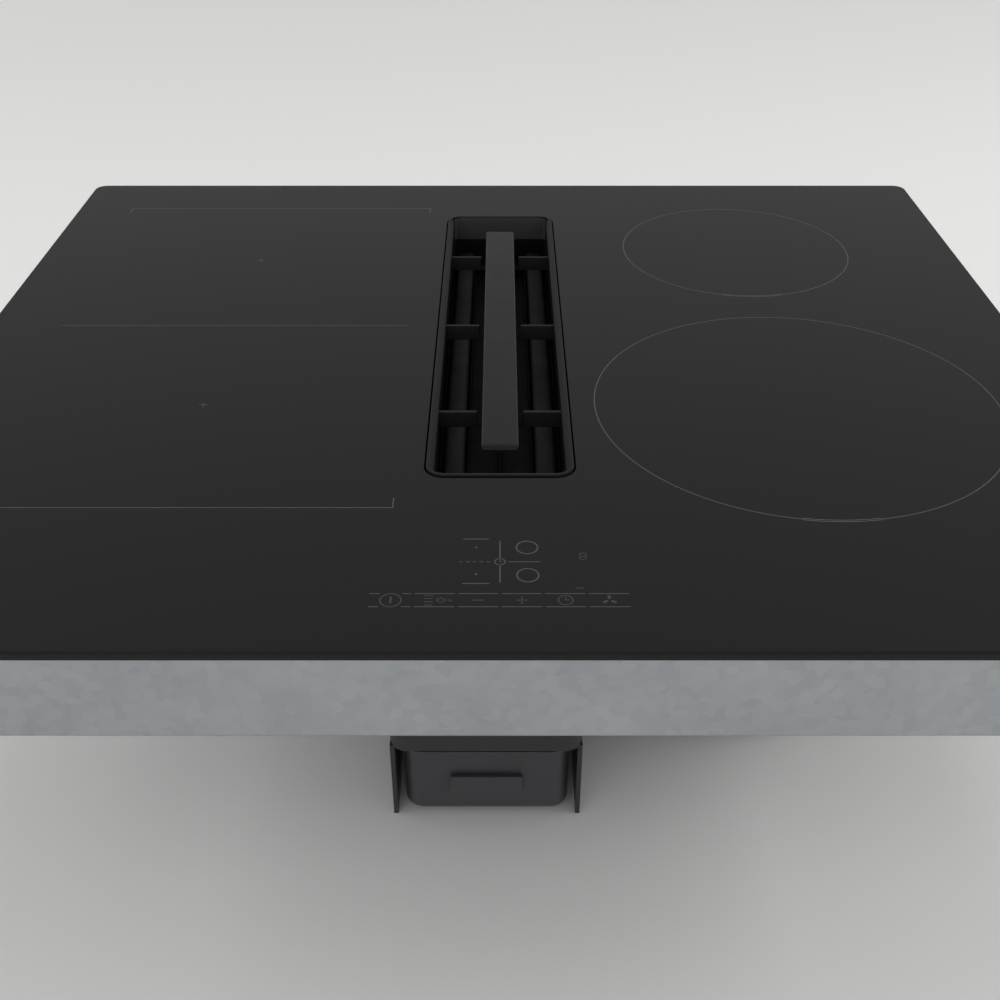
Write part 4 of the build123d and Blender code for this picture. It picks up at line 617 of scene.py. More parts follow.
@dataclass(frozen=True)
class GroundEdge(Finish):
    """The plate's edge, ground with a fine diamond belt: dark and satin, with no mirror left in
    it. The belt's 0.05 mm scratches are drawn 0.5 mm apart."""

    colour: str = "#1f1f20"
    rough: float = 0.5
    uneven: float = 0.15
    scratch: float = 0.5

    def surface(self, tree: Tree, place: Socket) -> Inputs:
        """Add the scratches, as Finish.surface."""
        belt = add_node(tree, "TexNoise", {"Vector": place, "Scale": per_metre(self.scratch), "Detail": 2.0})
        satin = add_node(tree, "MapRange", {0: belt[0], **MIDDLE, 3: self.rough, 4: self.rough + self.uneven})
        return {"Base Color": linear(self.colour), "Roughness": satin[0], "IOR": 1.3}


@dataclass(frozen=True)
class TwoTone(Finish):
    """A finish whose pattern lies between two tones."""

    other: str = "#202022"

    def tones(self) -> Inputs:
        """The two tones, as the colours of a Mix."""
        return {6: linear(self.colour), 7: linear(self.other)}


@dataclass(frozen=True)
class ScreenPrint(TwoTone):
    """Ceramic enamel, screen-printed and fired on: thin grey lines whose raster of dots shows
    as a slight unevenness. The real dots are 0.1 mm and are drawn at 0.4 mm."""

    colour: str = "#434345"
    other: str = "#545456"
    dots: float = 0.4

    def surface(self, tree: Tree, place: Socket) -> Inputs:
        """Add the raster of the print, as Finish.surface."""
        dots = add_node(tree, "TexNoise", {"Vector": place, "Scale": per_metre(self.dots), "Detail": 1.0})
        tone = add_node(tree, "Mix", {0: dots[0], **self.tones()}, data_type="RGBA")
        return {"Base Color": tone[2], "Roughness": 0.4, "IOR": 1.5}


@dataclass(frozen=True)
class Moulding(TwoTone):
    """Moulded plastic or rubber: the spark-eroded tool leaves a fine even grain that makes the
    surface matt, and the melt's flow leaves faint paler clouds. A grain finer than 0.5 mm is
    drawn at 0.5 mm so that it shows."""

    rough: float = 0.5
    grain: float = 0.5
    depth: float = 0.01
    cloud: float = 35.0
    ior: float = 1.5

    def surface(self, tree: Tree, place: Socket) -> Inputs:
        """Add the grain and the clouds, as Finish.surface."""
        grain = add_node(tree, "TexNoise", {"Vector": place, "Scale": per_metre(self.grain), "Detail": 2.0})
        cloud = add_node(tree, "TexNoise", {"Vector": place, "Scale": per_metre(self.cloud), "Detail": 4.0})
        tone = add_node(tree, "Mix", {0: cloud[0], **self.tones()}, data_type="RGBA")
        spread = {1: 0.25, 2: 0.75, 3: self.rough - 0.06, 4: self.rough + 0.08}
        matt = add_node(tree, "MapRange", {0: grain[0], **spread})
        bump = add_node(tree, "Bump", {"Height": grain[0], "Distance": self.depth * METRES})
        return {"Base Color": tone[2], "Roughness": matt[0], "Normal": bump[0], "IOR": self.ior}


@dataclass(frozen=True)
class PowderCoat(TwoTone):
    """Steel or cast aluminium with a baked powder coat: a close matt skin with the shallow
    dimples of orange peel, 1.2 mm apart, and a trace of paler wear where the powder is thin."""

    rough: float = 0.46
    peel: float = 1.2
    patch: float = 14.0
    depth: float = 0.008
    ior: float = 1.5

    def surface(self, tree: Tree, place: Socket) -> Inputs:
        """Add the orange peel and the thin places, as Finish.surface."""
        peel = add_node(tree, "TexNoise", {"Vector": place, "Scale": per_metre(self.peel), "Detail": 1.0})
        rugged = {"Vector": place, "Scale": per_metre(self.patch), "Detail": 6.0, "Roughness": 0.65}
        patch = add_node(tree, "TexNoise", rugged)
        thin = add_node(tree, "MapRange", {0: patch[0], 1: 0.45, 2: 0.8})
        tone = add_node(tree, "Mix", {0: thin[0], **self.tones()}, data_type="RGBA")
        spread = {**MIDDLE, 3: self.rough + 0.05, 4: self.rough - 0.05}
        matt = add_node(tree, "MapRange", {0: patch[0], **spread})
        bump = add_node(tree, "Bump", {"Height": peel[0], "Distance": self.depth * METRES})
        return {"Base Color": tone[2], "Roughness": matt[0], "Normal": bump[0], "IOR": self.ior}


@dataclass(frozen=True)
class RolledSheet(TwoTone):
    """Rolled metal sheet or an extrusion: long faint streaks run with the rolls, and a zinc
    skin adds its spangle, flat crystals that differ slightly in tone. The streaks are 0.6 mm
    apart and 60 mm long."""

    colour: str = "#b2b5b8"
    other: str = "#989ca0"
    rough: float = 0.38
    streak: float = 0.6
    run: tuple[float, float, float] = (1.0, 0.01, 1.0)
    cloud: float = 60.0
    spangle: float = 0.0
    depth: float = 0.006

    def surface(self, tree: Tree, place: Socket) -> Inputs:
        """Add the streaks and the spangle, as Finish.surface."""
        along = add_node(tree, "Mapping", {"Vector": place, "Scale": self.run})
        lines = {"Vector": along[0], "Scale": per_metre(self.streak), "Detail": 3.0}
        streak = add_node(tree, "TexNoise", lines)
        cloud = add_node(tree, "TexNoise", {"Vector": place, "Scale": per_metre(self.cloud), "Detail": 3.0})
        tint = cloud[0]
        if self.spangle:
            crystals = add_node(tree, "TexVoronoi", {"Vector": place, "Scale": per_metre(self.spangle)})
            grey = add_node(tree, "RGBToBW", {0: crystals["Color"]})
            tint = add_node(tree, "Mix", {0: 0.3, 2: cloud[0], 3: grey[0]})[0]
        tone = add_node(tree, "Mix", {0: tint, **self.tones()}, data_type="RGBA")
        both = add_node(tree, "Mix", {0: 0.5, 2: streak[0], 3: tint})
        spread = {**MIDDLE, 3: self.rough - 0.09, 4: self.rough + 0.1}
        matt = add_node(tree, "MapRange", {0: both[0], **spread})
        relief = {"Height": streak[0], "Distance": self.depth * METRES, "Strength": 0.6}
        bump = add_node(tree, "Bump", relief)
        return {"Base Color": tone[2], "Roughness": matt[0], "Normal": bump[0], "Metallic": 1.0}


@dataclass(frozen=True)
class TurnedSteel(TwoTone):
    """Turned or ground steel, bright or plated: close tool marks round the axis, drawn 1 mm
    apart, and a slight yellow or blue cast from the plating."""

    colour: str = "#c0c2c4"
    other: str = "#a9abb0"
    rough: float = 0.3
    mark: float = 1.0
    cast: float = 5.0

    def surface(self, tree: Tree, place: Socket) -> Inputs:
        """Add the tool marks and the cast, as Finish.surface."""
        feed = {"Vector": place, "Scale": per_metre(self.mark) / BANDS, "Distortion": 1.5, "Detail": 2.0}
        marks = add_node(tree, "TexWave", feed, bands_direction="Z")
        cast = add_node(tree, "TexNoise", {"Vector": place, "Scale": per_metre(self.cast), "Detail": 3.0})
        tone = add_node(tree, "Mix", {0: cast[0], **self.tones()}, data_type="RGBA")
        matt = add_node(tree, "MapRange", {0: marks["Fac"], 3: self.rough - 0.06, 4: self.rough + 0.1})
        return {"Base Color": tone[2], "Roughness": matt[0], "Metallic": 1.0}


@dataclass(frozen=True)
class CellFoam(TwoTone):
    """Closed-cell rubber foam with its cut skin: matt charcoal with open cells 0.9 mm across, drawn
    darker in their hollows, painted shade.
    """

    colour: str = "#2a2a2b"
    other: str = "#1b1b1c"
    cell: float = 0.9
    depth: float = 0.12

    def surface(self, tree: Tree, place: Socket) -> Inputs:
        """Add the cells, as Finish.surface."""
        cells = add_node(tree, "TexVoronoi", {"Vector": place, "Scale": per_metre(self.cell)})
        hollow = add_node(tree, "MapRange", {0: cells["Distance"], 1: 0.15, 2: 0.6, 3: 1.0, 4: 0.0})
        # The darker tone in the cells' hollows is painted shade.
        tone = add_node(tree, "Mix", {0: hollow[0], **self.tones()}, data_type="RGBA")
        relief = {"Height": hollow[0], "Distance": self.depth * METRES}
        bump = add_node(tree, "Bump", relief, invert=True)
        return {"Base Color": tone[2], "Roughness": 0.92, "Normal": bump[0]}


@dataclass(frozen=True)
class MicaPaper(TwoTone):
    """Pressed mica paper: overlapping flakes 3 mm across, silvery brown, each with its own sheen."""

    colour: str = "#b9ab92"
    other: str = "#8d7c62"
    flake: float = 3.0

    def surface(self, tree: Tree, place: Socket) -> Inputs:
        """Add the flakes, as Finish.surface."""
        flakes = add_node(tree, "TexVoronoi", {"Vector": place, "Scale": per_metre(self.flake)})
        grey = add_node(tree, "RGBToBW", {0: flakes["Color"]})
        tone = add_node(tree, "Mix", {0: grey[0], **self.tones()}, data_type="RGBA")
        sheen = add_node(tree, "MapRange", {0: grey[0], 3: 0.28, 4: 0.5})
        return {"Base Color": tone[2], "Roughness": sheen[0], "IOR": 1.58}


@dataclass(frozen=True)
class LitzWire(TwoTone):
    """Enamelled copper litz: fine strands twisted into a rope, warm copper under clear enamel,
    drawn darker between the strands, painted shade. The real strands are 0.3 mm and are drawn
    about 2 mm apart."""

    # The darker tone, used between the strands, is painted shade.
    colour: str = "#5e3016"
    other: str = "#a65c2e"
    strand: float = 1.6
    depth: float = 0.15

    def surface(self, tree: Tree, place: Socket) -> Inputs:
        """Add the strands, as Finish.surface."""
        twist = {"Vector": place, "Scale": per_metre(self.strand) / BANDS, "Distortion": 3.0, "Detail": 1.0}
        strands = add_node(tree, "TexWave", twist, bands_direction="DIAGONAL")["Fac"]
        # The darker tone between the strands is painted shade.
        tone = add_node(tree, "Mix", {0: strands, **self.tones()}, data_type="RGBA")
        relief = {"Height": strands, "Distance": self.depth * METRES, "Strength": 0.8}
        enamel = {"Metallic": 0.9, "Roughness": 0.35, "Coat Weight": 0.4}
        return {"Base Color": tone[2], "Normal": add_node(tree, "Bump", relief)[0], **enamel}


@dataclass(frozen=True)
class SolderMask(TwoTone):
    """Glass-fibre board under green solder mask: the tracks show as paler lines that stand a
    little proud, 1.6 mm apart, round pads 5 mm apart."""

    colour: str = "#12401f"
    other: str = "#2c6a38"
    pitch: float = 5.0
    gap: float = 0.16
    depth: float = 0.04

    def surface(self, tree: Tree, place: Socket) -> Inputs:
        """Add the tracks, as Finish.surface."""
        layout = {"Vector": place, "Scale": per_metre(self.pitch)}
        pads = add_node(tree, "TexVoronoi", layout, distance="MANHATTAN")
        line = add_node(tree, "Math", {0: pads["Distance"], 1: self.gap}, operation="PINGPONG")
        track = add_node(tree, "MapRange", {0: line[0], 1: 0.05, 2: 0.09})
        tone = add_node(tree, "Mix", {0: track[0], **self.tones()}, data_type="RGBA")
        bump = add_node(tree, "Bump", {"Height": track[0], "Distance": self.depth * METRES})
        return {"Base Color": tone[2], "Roughness": 0.35, "Normal": bump[0]}


GLASS = PolishedCeramic("polished black glass ceramic", "glass_ceramic")
GROUND = GroundEdge("ground edge of the glass ceramic", "glass_ceramic")
ENAMEL = ScreenPrint("screen-printed grey enamel", "glass_ceramic")
ENAMEL_DIM = ScreenPrint("screen-printed dim enamel", "glass_ceramic", "#373739", "#444446")
ENAMEL_LIGHT = ScreenPrint("screen-printed light enamel", "glass_ceramic", "#5a5a5c", "#68686a")
SEAL = CellFoam("closed-cell foam tape", "seal_foam")
ZINC = RolledSheet("zinc-plated steel sheet", "zinc_steel", spangle=5.0)
SPRING = RolledSheet("bright spring steel strip", "spring_steel", "#a5a8ab", "#85888c", rough=0.3)
ALUMINIUM = RolledSheet("mill-finish aluminium", "aluminium_sheet", "#cfd1d3", "#bcbfc2", rough=0.36)
SCREW = TurnedSteel("zinc-plated screw steel", "screw_steel")
BEARING = TurnedSteel("ground bearing steel", "bearing_steel", "#d6d7d8", "#c4c6c8", rough=0.2)
PROBE = TurnedSteel("crimped sensor sleeve", "bearing_steel", "#cfcfcf", "#b5b5b2")
MICA = MicaPaper("pressed mica paper", "mica")
LITZ = LitzWire("enamelled copper litz", "copper_winding")
BOARD = SolderMask("green circuit board", "circuit_board")
BAR = PowderCoat("matt black coated bar", "grille_plastic", "#171718", "#1c1c1d", rough=0.33)
FILTER = PowderCoat("black-coated filter sheet", "filter_metal", "#1c1c1d", "#252526", rough=0.55, ior=1.42)
# Darker and duller than the blades' coat, for the shade deep in the inlet: painted shade.
SHADED_TROUGH = PowderCoat("black-coated trough sheet", "filter_metal", "#111112", "#161617", rough=0.6, ior=1.3)
MOTOR = PowderCoat("painted motor can", "motor_metal", "#8b8e92", "#9b9ea2", rough=0.4)

# The grille is one moulding in one finish; its faces get tones that paint the light on them: the
# end walls are the palest, painted light, the ribs less so, and the ledges and the ribs' feet under
# the bar are near black, painted shade.
GRILLE = Moulding("fine-textured black moulding", "grille_plastic", "#18181a", "#1c1c1e", ior=1.42)
# Paler tone for the end walls' inner faces: painted light.
LIT_END_WALL = Moulding("coarse-textured black moulding", "grille_plastic", "#3c3c3d", "#424243", rough=0.6)
RIB_NAME, FOOT_NAME = "fine-textured black rib moulding", "soot-black rib foot moulding"
# Ribs paler than the rim and darker than the end walls, set to the light on them: painted light.
LIT_RIB = Moulding(RIB_NAME, "grille_plastic", "#202021", "#252526", rough=0.55, ior=1.4)
# Darker tone for the ledges and the side walls under them: painted shade.
SHADED_LEDGE = Moulding("dull fine-textured black moulding", "grille_plastic", "#0d0d0e", "#111112", ior=1.38)
# Near-black tone with little sheen for the ribs' feet under the bar: painted shade.
SHADED_FOOT = Moulding(FOOT_NAME, "grille_plastic", "#070707", "#0a0a0a", rough=0.7, ior=1.2)

# Other mouldings, from the grainy housings to the smooth tray and the soft rubber.
HOUSING = Moulding(
    "dark moulded housing plastic", "housing_plastic", "#2b2b2d", "#323235", rough=0.52, grain=0.8, depth=0.02
)
DUCT = Moulding(
    "dark moulded duct plastic", "duct_plastic", "#333336", "#3a3a3e", rough=0.48, grain=0.8, depth=0.015
)
TRAY = Moulding(
    "smooth moulded tray plastic", "tray_plastic", "#3a3a3d", "#414145", rough=0.34, grain=1.0, depth=0.005
)
WHEEL = Moulding("moulded wheel plastic", "wheel_plastic", "#46464a", "#4e4e53", rough=0.45, grain=0.8)
CARRIER = Moulding(
    "heat-proof coil moulding", "coil_plastic", "#6f6a63", "#7c766e", rough=0.6, grain=0.8, depth=0.02
)
FERRITE = Moulding("sintered ferrite", "ferrite", "#2b2a2a", "#383636", rough=0.62, grain=0.6, depth=0.03)
PARTS = Moulding(
    "moulded and sleeved board parts", "board_parts", "#232329", "#2c2c33", rough=0.38, grain=0.8, depth=0.005
)
RUBBER = Moulding("moulded rubber", "rubber_part", "#161616", "#1d1d1d", rough=0.78, grain=1.0, depth=0.02)
NYLON = Moulding("moulded nylon", "gland_plastic", "#2c2c2d", "#343436", rough=0.42, grain=0.8)


# ---------------------------------------------------------------- glass and its marks
@dataclass
class GlassPlate(SubAssembly):
    """The ceramic plate with its slot, the foam tape under it and the bonded steel angle."""

    plan: Plan = Plan(592.0, 522.0, 8.0, steps=12)
    slot: Plan = Plan(72.4, 334.0, 10.0, y=INLET_Y, steps=12)
    underside: float = 1.0
    edge: float = 1.5
    seal: Plan = Plan(588.0, 518.0, 6.0)
    seal_width: float = 10.0
    edge_faces: int = field(default=0, init=False)

    def build(self) -> None:
        """Make the plate and the tape.

        The plate is one closed band: its profile runs up the ground outer edge, over the top
        and down the wall of the slot, so the outer loops follow the plate and the inner ones
        the slot.
        """
        low, top = self.underside, GLASS_TOP
        far = 30
        outer = soften([(-far, low), (0, low), (0, top), (-far, top)], [0, 0.3, self.edge, 0])[1:-1]
        inner = soften([(far, top), (0, top), (0, low), (far, low)], [0, 0.4, 0.2, 0])[1:-1]
        loops = np.concatenate([self.plan.loops(outer), self.slot.loops(inner)])
        self.add("ceramic_plate", grid(loops, Ends.JOINED), ["glass_top"])
        self.edge_faces = (len(outer) - 1) * loops.shape[1]
        corners = [(0, 0), (0, low), (-self.seal_width, low), (-self.seal_width, 0)]
        tape = self.add("foam_tape", ring(self.seal, corners, [0.35] * 4), ["worktop_seal"])

    def dress(self) -> None:
        """Give the plate its polish and ground edge, and the tape and the angle their finishes."""
        self.coat(GLASS, "ceramic_plate")
        faces = len(bpy.data.objects["ceramic_plate"].data.polygons)
        self.coat_part(GROUND, "ceramic_plate", np.arange(faces) < self.edge_faces)
        self.coat(SEAL, "foam_tape")
        self.coat(ZINC, "glass_frame")


@dataclass
class Marks(SubAssembly):
    """Marks printed on the glass: flat strokes that stand a few hundredths of a millimetre proud.

    The outlines and signs were measured in the photograph and are drawn in real millimetres.
    """

    line: float = 0.6
    sunk: float = 0.01
    proud: float = 0.03

    def stroke(self, path: Corners | Array, width: float = 0.0, closed: bool = False) -> Shape:
        """A printed line along a path, with the usual width unless another is given."""
        points = np.asarray(path, float)
        return wall(points, width or self.line, GLASS_TOP - self.sunk, GLASS_TOP + self.proud, closed)

    def circle(self, x: float, y: float, radius: float, width: float = 0.0) -> Shape:
        """A printed circle."""
        around = max(32, int(radius * 1.5))
        return self.stroke(arc(x, y, radius, 0, 360, around + 1)[:-1], width, closed=True)

    def level(self, start: float, end: float, y: float, width: float = 0.5) -> Shape:
        """A printed line from left to right, thin unless another width is given."""
        return self.stroke([(start, y), (end, y)], width)

    def upright(self, x: float, low: float, high: float, width: float = 0.5) -> Shape:
        """A printed line from front to back, thin unless another width is given."""
        return self.stroke([(x, low), (x, high)], width)


@dataclass
class ZoneMarks(Marks):
    """The outlines of the cooking zones: a combined zone on the left, two circles on the right."""

    left: float = -258.3
    right: float = -48.8
    front: float = -161.0
    back: float = 213.5
    tick: float = 8.0
    centres: tuple[tuple[float, float], ...] = ((-153.4, -66.4), (-153.4, 121.4))
    cross: float = 2.2
    rounds: tuple[tuple[float, float, float], ...] = ((153.4, -67.1, 104.5), (153.4, 139.4, 72.5))
    arc_half: float = 18.0
    inset: float = 4.0
    bold: float = 1.5

    def build(self) -> None:
        """Make the combined zone's lines and crosses, and the two circles with their front arcs."""
        lines = []
        left, right = self.left, self.right
        for y, inward in ((self.front, self.tick), (self.back, -self.tick)):
            lines.append(self.stroke([(left, y + inward), (left, y), (right, y), (right, y + inward)]))
        middle = (self.front + self.back) / 2
        lines.append(self.level(left + self.inset, right - self.inset, middle))
        for x, y in self.centres:
            lines.append(self.level(x - self.cross, x + self.cross, y))
            lines.append(self.upright(x, y - self.cross, y + self.cross))
        arcs = []
        for x, y, radius in self.rounds:
            lines.append(self.circle(x, y, radius))
            half = math.degrees(math.asin(self.arc_half / radius))
            arcs.append(self.stroke(arc(x, y, radius, 270 - half, 2 * half, 24), self.bold))
        self.add("zone_outline_marks", join(lines))
        self.add("zone_front_arc_marks", join(arcs))

    def dress(self) -> None:
        """Give the marks their enamel."""
        self.coat(ENAMEL, "zone_outline_marks")
        self.coat(ENAMEL_LIGHT, "zone_front_arc_marks")


@dataclass
class PanelMarks(Marks):
    """The touch panel's marks: a row of six keys and, behind it, the zone display."""

    row_low: float = 28.4
    row_high: float = 37.0
    row_half: float = 53.8
    key_pitch: float = 17.93
    gap: float = 0.7
    ring_gap: float = 4.6
    cross_y: float = 58.9
    ring: float = 4.6

    def depth(self, distance: float) -> float:
        """The Y of a place given by its distance from the front edge of the glass."""
        return GLASS_FRONT + distance

    def key_lines(self) -> list[Shape]:
        """The key row's two lines, broken narrowly between keys and widely at the power ring."""
        stops = np.arange(-3, 4) * self.key_pitch
        power = -2.5 * self.key_pitch
        lines = []
        for distance in (self.row_low, self.row_high):
            y = self.depth(distance)
            for start, end in zip(stops[1:-1], stops[2:]):
                lines.append(self.level(start + self.gap, end - self.gap, y))
            lines.append(self.level(-self.row_half, power - self.ring_gap, y))
            lines.append(self.level(power + self.ring_gap, stops[1] - self.gap, y))
        return lines

    def key_signs(self) -> list[Shape]:
        """The signs in the keys: power, lock, less, more, clock and fan."""
        y = self.depth((self.row_low + self.row_high) / 2)
        power, lock, less, more, clock, fan = (step * self.key_pitch for step in np.arange(-2.5, 3.0))
        signs = [self.circle(power, y, 4.3, 0.6), self.upright(power, y - 2.0, y + 2.2, 0.9)]
        signs += [self.level(lock - 4.2, lock - 0.6, y + row) for row in (-3.2, -1.1, 1.1, 3.2)]
        signs.append(self.circle(lock + 2.6, y, 1.4, 0.5))
        signs.append(self.level(lock + 4.0, lock + 7.4, y))
        signs.append(self.upright(lock + 6.6, y, y - 1.1))
        signs.append(self.level(less - 2.4, less + 2.4, y, 0.6))
        signs.append(self.level(more - 2.4, more + 2.4, y, 0.6))
        signs.append(self.upright(more, y - 2.4, y + 2.4, 0.6))
        signs.append(self.circle(clock, y, 3.0, 0.55))
        signs.append(self.stroke([(clock, y + 2.0), (clock, y), (clock + 1.6, y)], 0.5))
        return signs + self.fan_sign(fan, y)

    def fan_sign(self, x: float, y: float) -> list[Shape]:
        """A fan with three blades, drawn about a place.

        A blade is a loop that leaves the hub and comes back: its distance from the hub is the
        blade's length times a power of the sine of a half turn, and it leans by 34 degrees.
        """
        t = np.linspace(0.0, 1.0, 18, endpoint=False)[1:]
        reach = 3.3 * np.sin(np.pi * t) ** 0.8
        lean = np.radians(34 * (t - 0.5) * 2)
        blades = []
        for turn in (90, 210, 330):
            angle = np.radians(turn) + lean
            loop = np.stack([x + reach * np.cos(angle), y + reach * np.sin(angle)], axis=-1)
            blades.append(prism(loop, GLASS_TOP - self.sunk, GLASS_TOP + self.proud))
        return blades

    def display(self) -> list[Shape]:
        """The zone display: a cross of lines, the rings of the round zones, the long zone's bars."""
        d, y = self.depth, self.depth(self.cross_y)
        marks = [self.upright(0, d(low), d(high), self.line) for low, high in ((44.4, 56.0), (61.9, 74.1))]
        marks.append(self.level(3.6, 17.1, y))
        marks += [self.level(start, start + 1.5, y) for start in np.arange(-17.4, -3.4, 2.9)]
        marks.append(self.circle(0, y, 2.2, 0.5))
        marks.append(self.stroke([(0, d(60.2)), (0, y), (1.0, y)], 0.35))
        marks.append(self.level(-16.1, -4.8, d(75.5), self.line))
        marks.append(self.level(-15.7, -4.4, d(43.8), self.line))
        for x, distance in ((-10.3, 69.3), (-10.1, 50.2)):
            dot = disc(0.55, GLASS_TOP - self.sunk, GLASS_TOP + self.proud, x, d(distance), 0.0, 12)
            marks.append(dot)
        marks += [self.circle(11.7, d(distance), self.ring, 0.65) for distance in (69.3, 49.5)]
        return marks

    def digit(self, x: float, y: float, width: float, height: float) -> list[Shape]:
        """The seven lit segments of a digit of some width and height about a place."""
        half, rise, short = width / 2, height / 2, 0.35
        bars = []
        for tier in (-rise, 0, rise):
            bars.append(self.level(x - half + short, x + half - short, y + tier, 0.55))
        for side in (-half, half):
            for low, high in ((-rise, 0), (0, rise)):
                bars.append(self.upright(x + side, y + low + short, y + high - short, 0.55))
        return bars

    def build(self) -> None:
        """Make the key row, the signs, the display and the digit."""
        self.add("key_row_marks", join(self.key_lines()))
        self.add("key_sign_marks", join(self.key_signs()))
        self.add("zone_display_marks", join(self.display()))
        lit = self.digit(35.6, self.depth(62.8), 2.6, 4.6)
        lit.append(self.level(31.2, 34.8, self.depth(40.7), 0.6))
        self.add("power_level_digit", join(lit))

    def dress(self) -> None:
        """Give the marks their enamel."""
        self.coat(ENAMEL, "key_row_marks", "zone_display_marks")
        self.coat(ENAMEL_DIM, "key_sign_marks", "power_level_digit")


# ---------------------------------------------------------------- inlet
@dataclass
class InletGrille(SubAssembly):
    """The lift-out grille: a ledged frame, three pairs of ribs, a spine and the long thin bar."""

    plan: Plan = Plan(70.8, 332.4, 9.2, y=INLET_Y, steps=14)
    ledge: Plan = Plan(63.0, 327.2, 2.4, y=INLET_Y, steps=14)
    foot: Plan = Plan(63.2, 326.0, 2.0, y=INLET_Y, steps=14)
    top: float = 6.0
    bottom: float = -10.0
    rim: float = 1.3
    ledge_drop: float = 0.9
    rib_pitch: float = 100.8
    rib_thickness: float = 2.0
    rib_top: float = 3.1
    rib_bottom: float = -5.9
    dip: float = -3.0
    dip_half: float = 12.0
    spine: Plan = Plan(14.0, 207.6, 0.3, y=INLET_Y)
    spine_height: float = 3.0
    bar: Plan = Plan(18.6, 280.0, 1.8, y=32.0)
    bar_bottom: float = 2.0
    bar_fall: float = 2.6

    def rib(self, y: float) -> Shape:
        """One pair of ribs, joined by a dip under the bar."""
        half = self.plan.width / 2 - self.rim / 2
        top, near = self.rib_top, self.dip_half
        right = [(half, self.rib_bottom), (half, top), (near, top), (near, self.dip)]
        corners = right + [(-x, z) for x, z in reversed(right)]
        outline = soften(corners, [0, 0, 0.5, 0.8, 0.8, 0.5, 0, 0], closed=True)
        return along_y(outline, self.rib_thickness, y)

    def frame_shape(self) -> Shape:
        """The frame: its profile runs up the outside, over the rim, over the ledge and down.

        The ledge is the gently falling strip between the loop inside the rim and the loop of a
        narrower plan. The two plans are nearly as long, so it lies along the long sides alone,
        and the end walls lean in from the rim to the plan of the foot.

        Returns:
            The frame.
        """
        low, high, top = self.bottom, self.top - self.ledge_drop, self.top
        outside = [(-2.0, low), (0.0, low), (0.0, top), (-self.rim, top), (-self.rim - 1.0, top - 0.2)]
        outline = soften(outside, [0, 0.3, 0.5, 0.4, 0])[1:-1]
        edge = soften([(2.0, high), (0.0, high), (0.0, low)], [0, 0.9, 0])[1:-1]
        end = soften([(0.0, top), (0.0, low), (2.0, low)], [0, 0.3, 0])[1:-1]
        loops = [self.plan.loops(outline), self.ledge.loops(edge), self.foot.loops(end)]
        return grid(np.concatenate(loops), Ends.JOINED)

    def long_bar(self) -> Shape:
        """The flat bar, whose upper edge falls at both ends like a quarter of an ellipse.

        Its loops are rectangles with round corners in X and Z, one at each station along Y. At
        a share s of the fall, counted from its start to the end of the bar, the loop's height
        is the bar's thickness times the square root of 1 - s^2, and its half width is less by
        the plan's radius times 1 minus that root.

        Returns:
            The bar.
        """
        half, full, last = self.bar.depth / 2, GLASS_TOP - self.bar_bottom, 0.95
        share = np.sin(np.linspace(0.0, 1.0, 12) * np.pi / 2) * last
        station = half - self.bar_fall * (last - share)
        height = full * np.sqrt(1.0 - share**2)
        along = np.concatenate([-station[::-1], station])[:, None]
        tall = np.concatenate([height[::-1], height])[:, None]
        side = self.bar.width / 2
        corners = [(-side, 0), (side, 0), (side, full), (-side, full)]
        section = soften(corners, [0.5, 0.5, 1.2, 1.2], closed=True)
        x = section[None, :, 0] * (1.0 - self.bar.radius / side * (1.0 - tall / full))
        z = self.bar_bottom + section[None, :, 1] / full * tall
        return grid(np.stack([x, self.bar.y + along + 0 * x, z], axis=-1), Ends.CAPPED)

    def build(self) -> None:
        """Make the frame with its ribs, and the bar."""
        ribs = [self.rib(INLET_Y + step * self.rib_pitch) for step in STEPS]
        spine = block(self.spine, self.dip - self.spine_height, self.dip, 0.3, 0.6)
        self.add("grille_wall", self.frame_shape(), ["inlet_grille"], "grille")
        self.add("grille_ribs", join(ribs + [spine]), body="grille", bevel=0.3)
        bar = [self.long_bar()]
        for step in STEPS:
            post = Plan(8.0, 6.0, 1.0, y=INLET_Y + step * self.rib_pitch, steps=4)
            bar.append(block(post, self.dip, self.bar_bottom + 0.5, 0.1, 0.4))
        self.add("grille_long_bar", join(bar), ["grille_bar"], "grille")

    def dress(self) -> None:
        """Give the moulding and the bar their finishes.

        The inner faces of the end walls, which point to the middle of the inlet, get a paler tone than
        the rim, painted light; the ledges and the walls below them get a darker one, painted shade, and
        the ribs' feet under the bar a near-black one, painted shade.
        """
        self.coat(GRILLE, "grille_wall")
        centres, normals = facing(bpy.data.objects["grille_wall"].data)
        middle = np.array([0.0, INLET_Y * METRES, 0.0])
        inward = np.einsum("ij,ij->i", (middle - centres)[:, :2], normals[:, :2])
        steep = (inward > 0.0) & (np.abs(normals[:, 2]) < 0.7)
        low = self.top - self.ledge_drop / 3
        flat = (centres[:, 2] < low * METRES) & (normals[:, 2] > 0.7)
        end_wall = steep & (np.abs(normals[:, 1]) > 0.5)
        # The end walls' inner faces get the paler tone, painted light.
        self.coat_part(LIT_END_WALL, "grille_wall", end_wall)
        # The ledges and the side walls under them get the darker tone, painted shade.
        self.coat_part(SHADED_LEDGE, "grille_wall", flat | (steep & ~end_wall))
        # The ribs get their own paler tone, painted light.
        self.coat(LIT_RIB, "grille_ribs")
        centres, normals = facing(bpy.data.objects["grille_ribs"].data)
        dipped = centres[:, 2] < (self.dip + 1.0) * METRES
        under_bar = np.abs(centres[:, 0]) < (self.dip_half + 0.5) * METRES
        # The ribs' feet under the bar get the near-black tone, painted shade.
        self.coat_part(SHADED_FOOT, "grille_ribs", dipped & under_bar & (normals[:, 2] > -0.5))
        self.coat(BAR, "grille_long_bar")


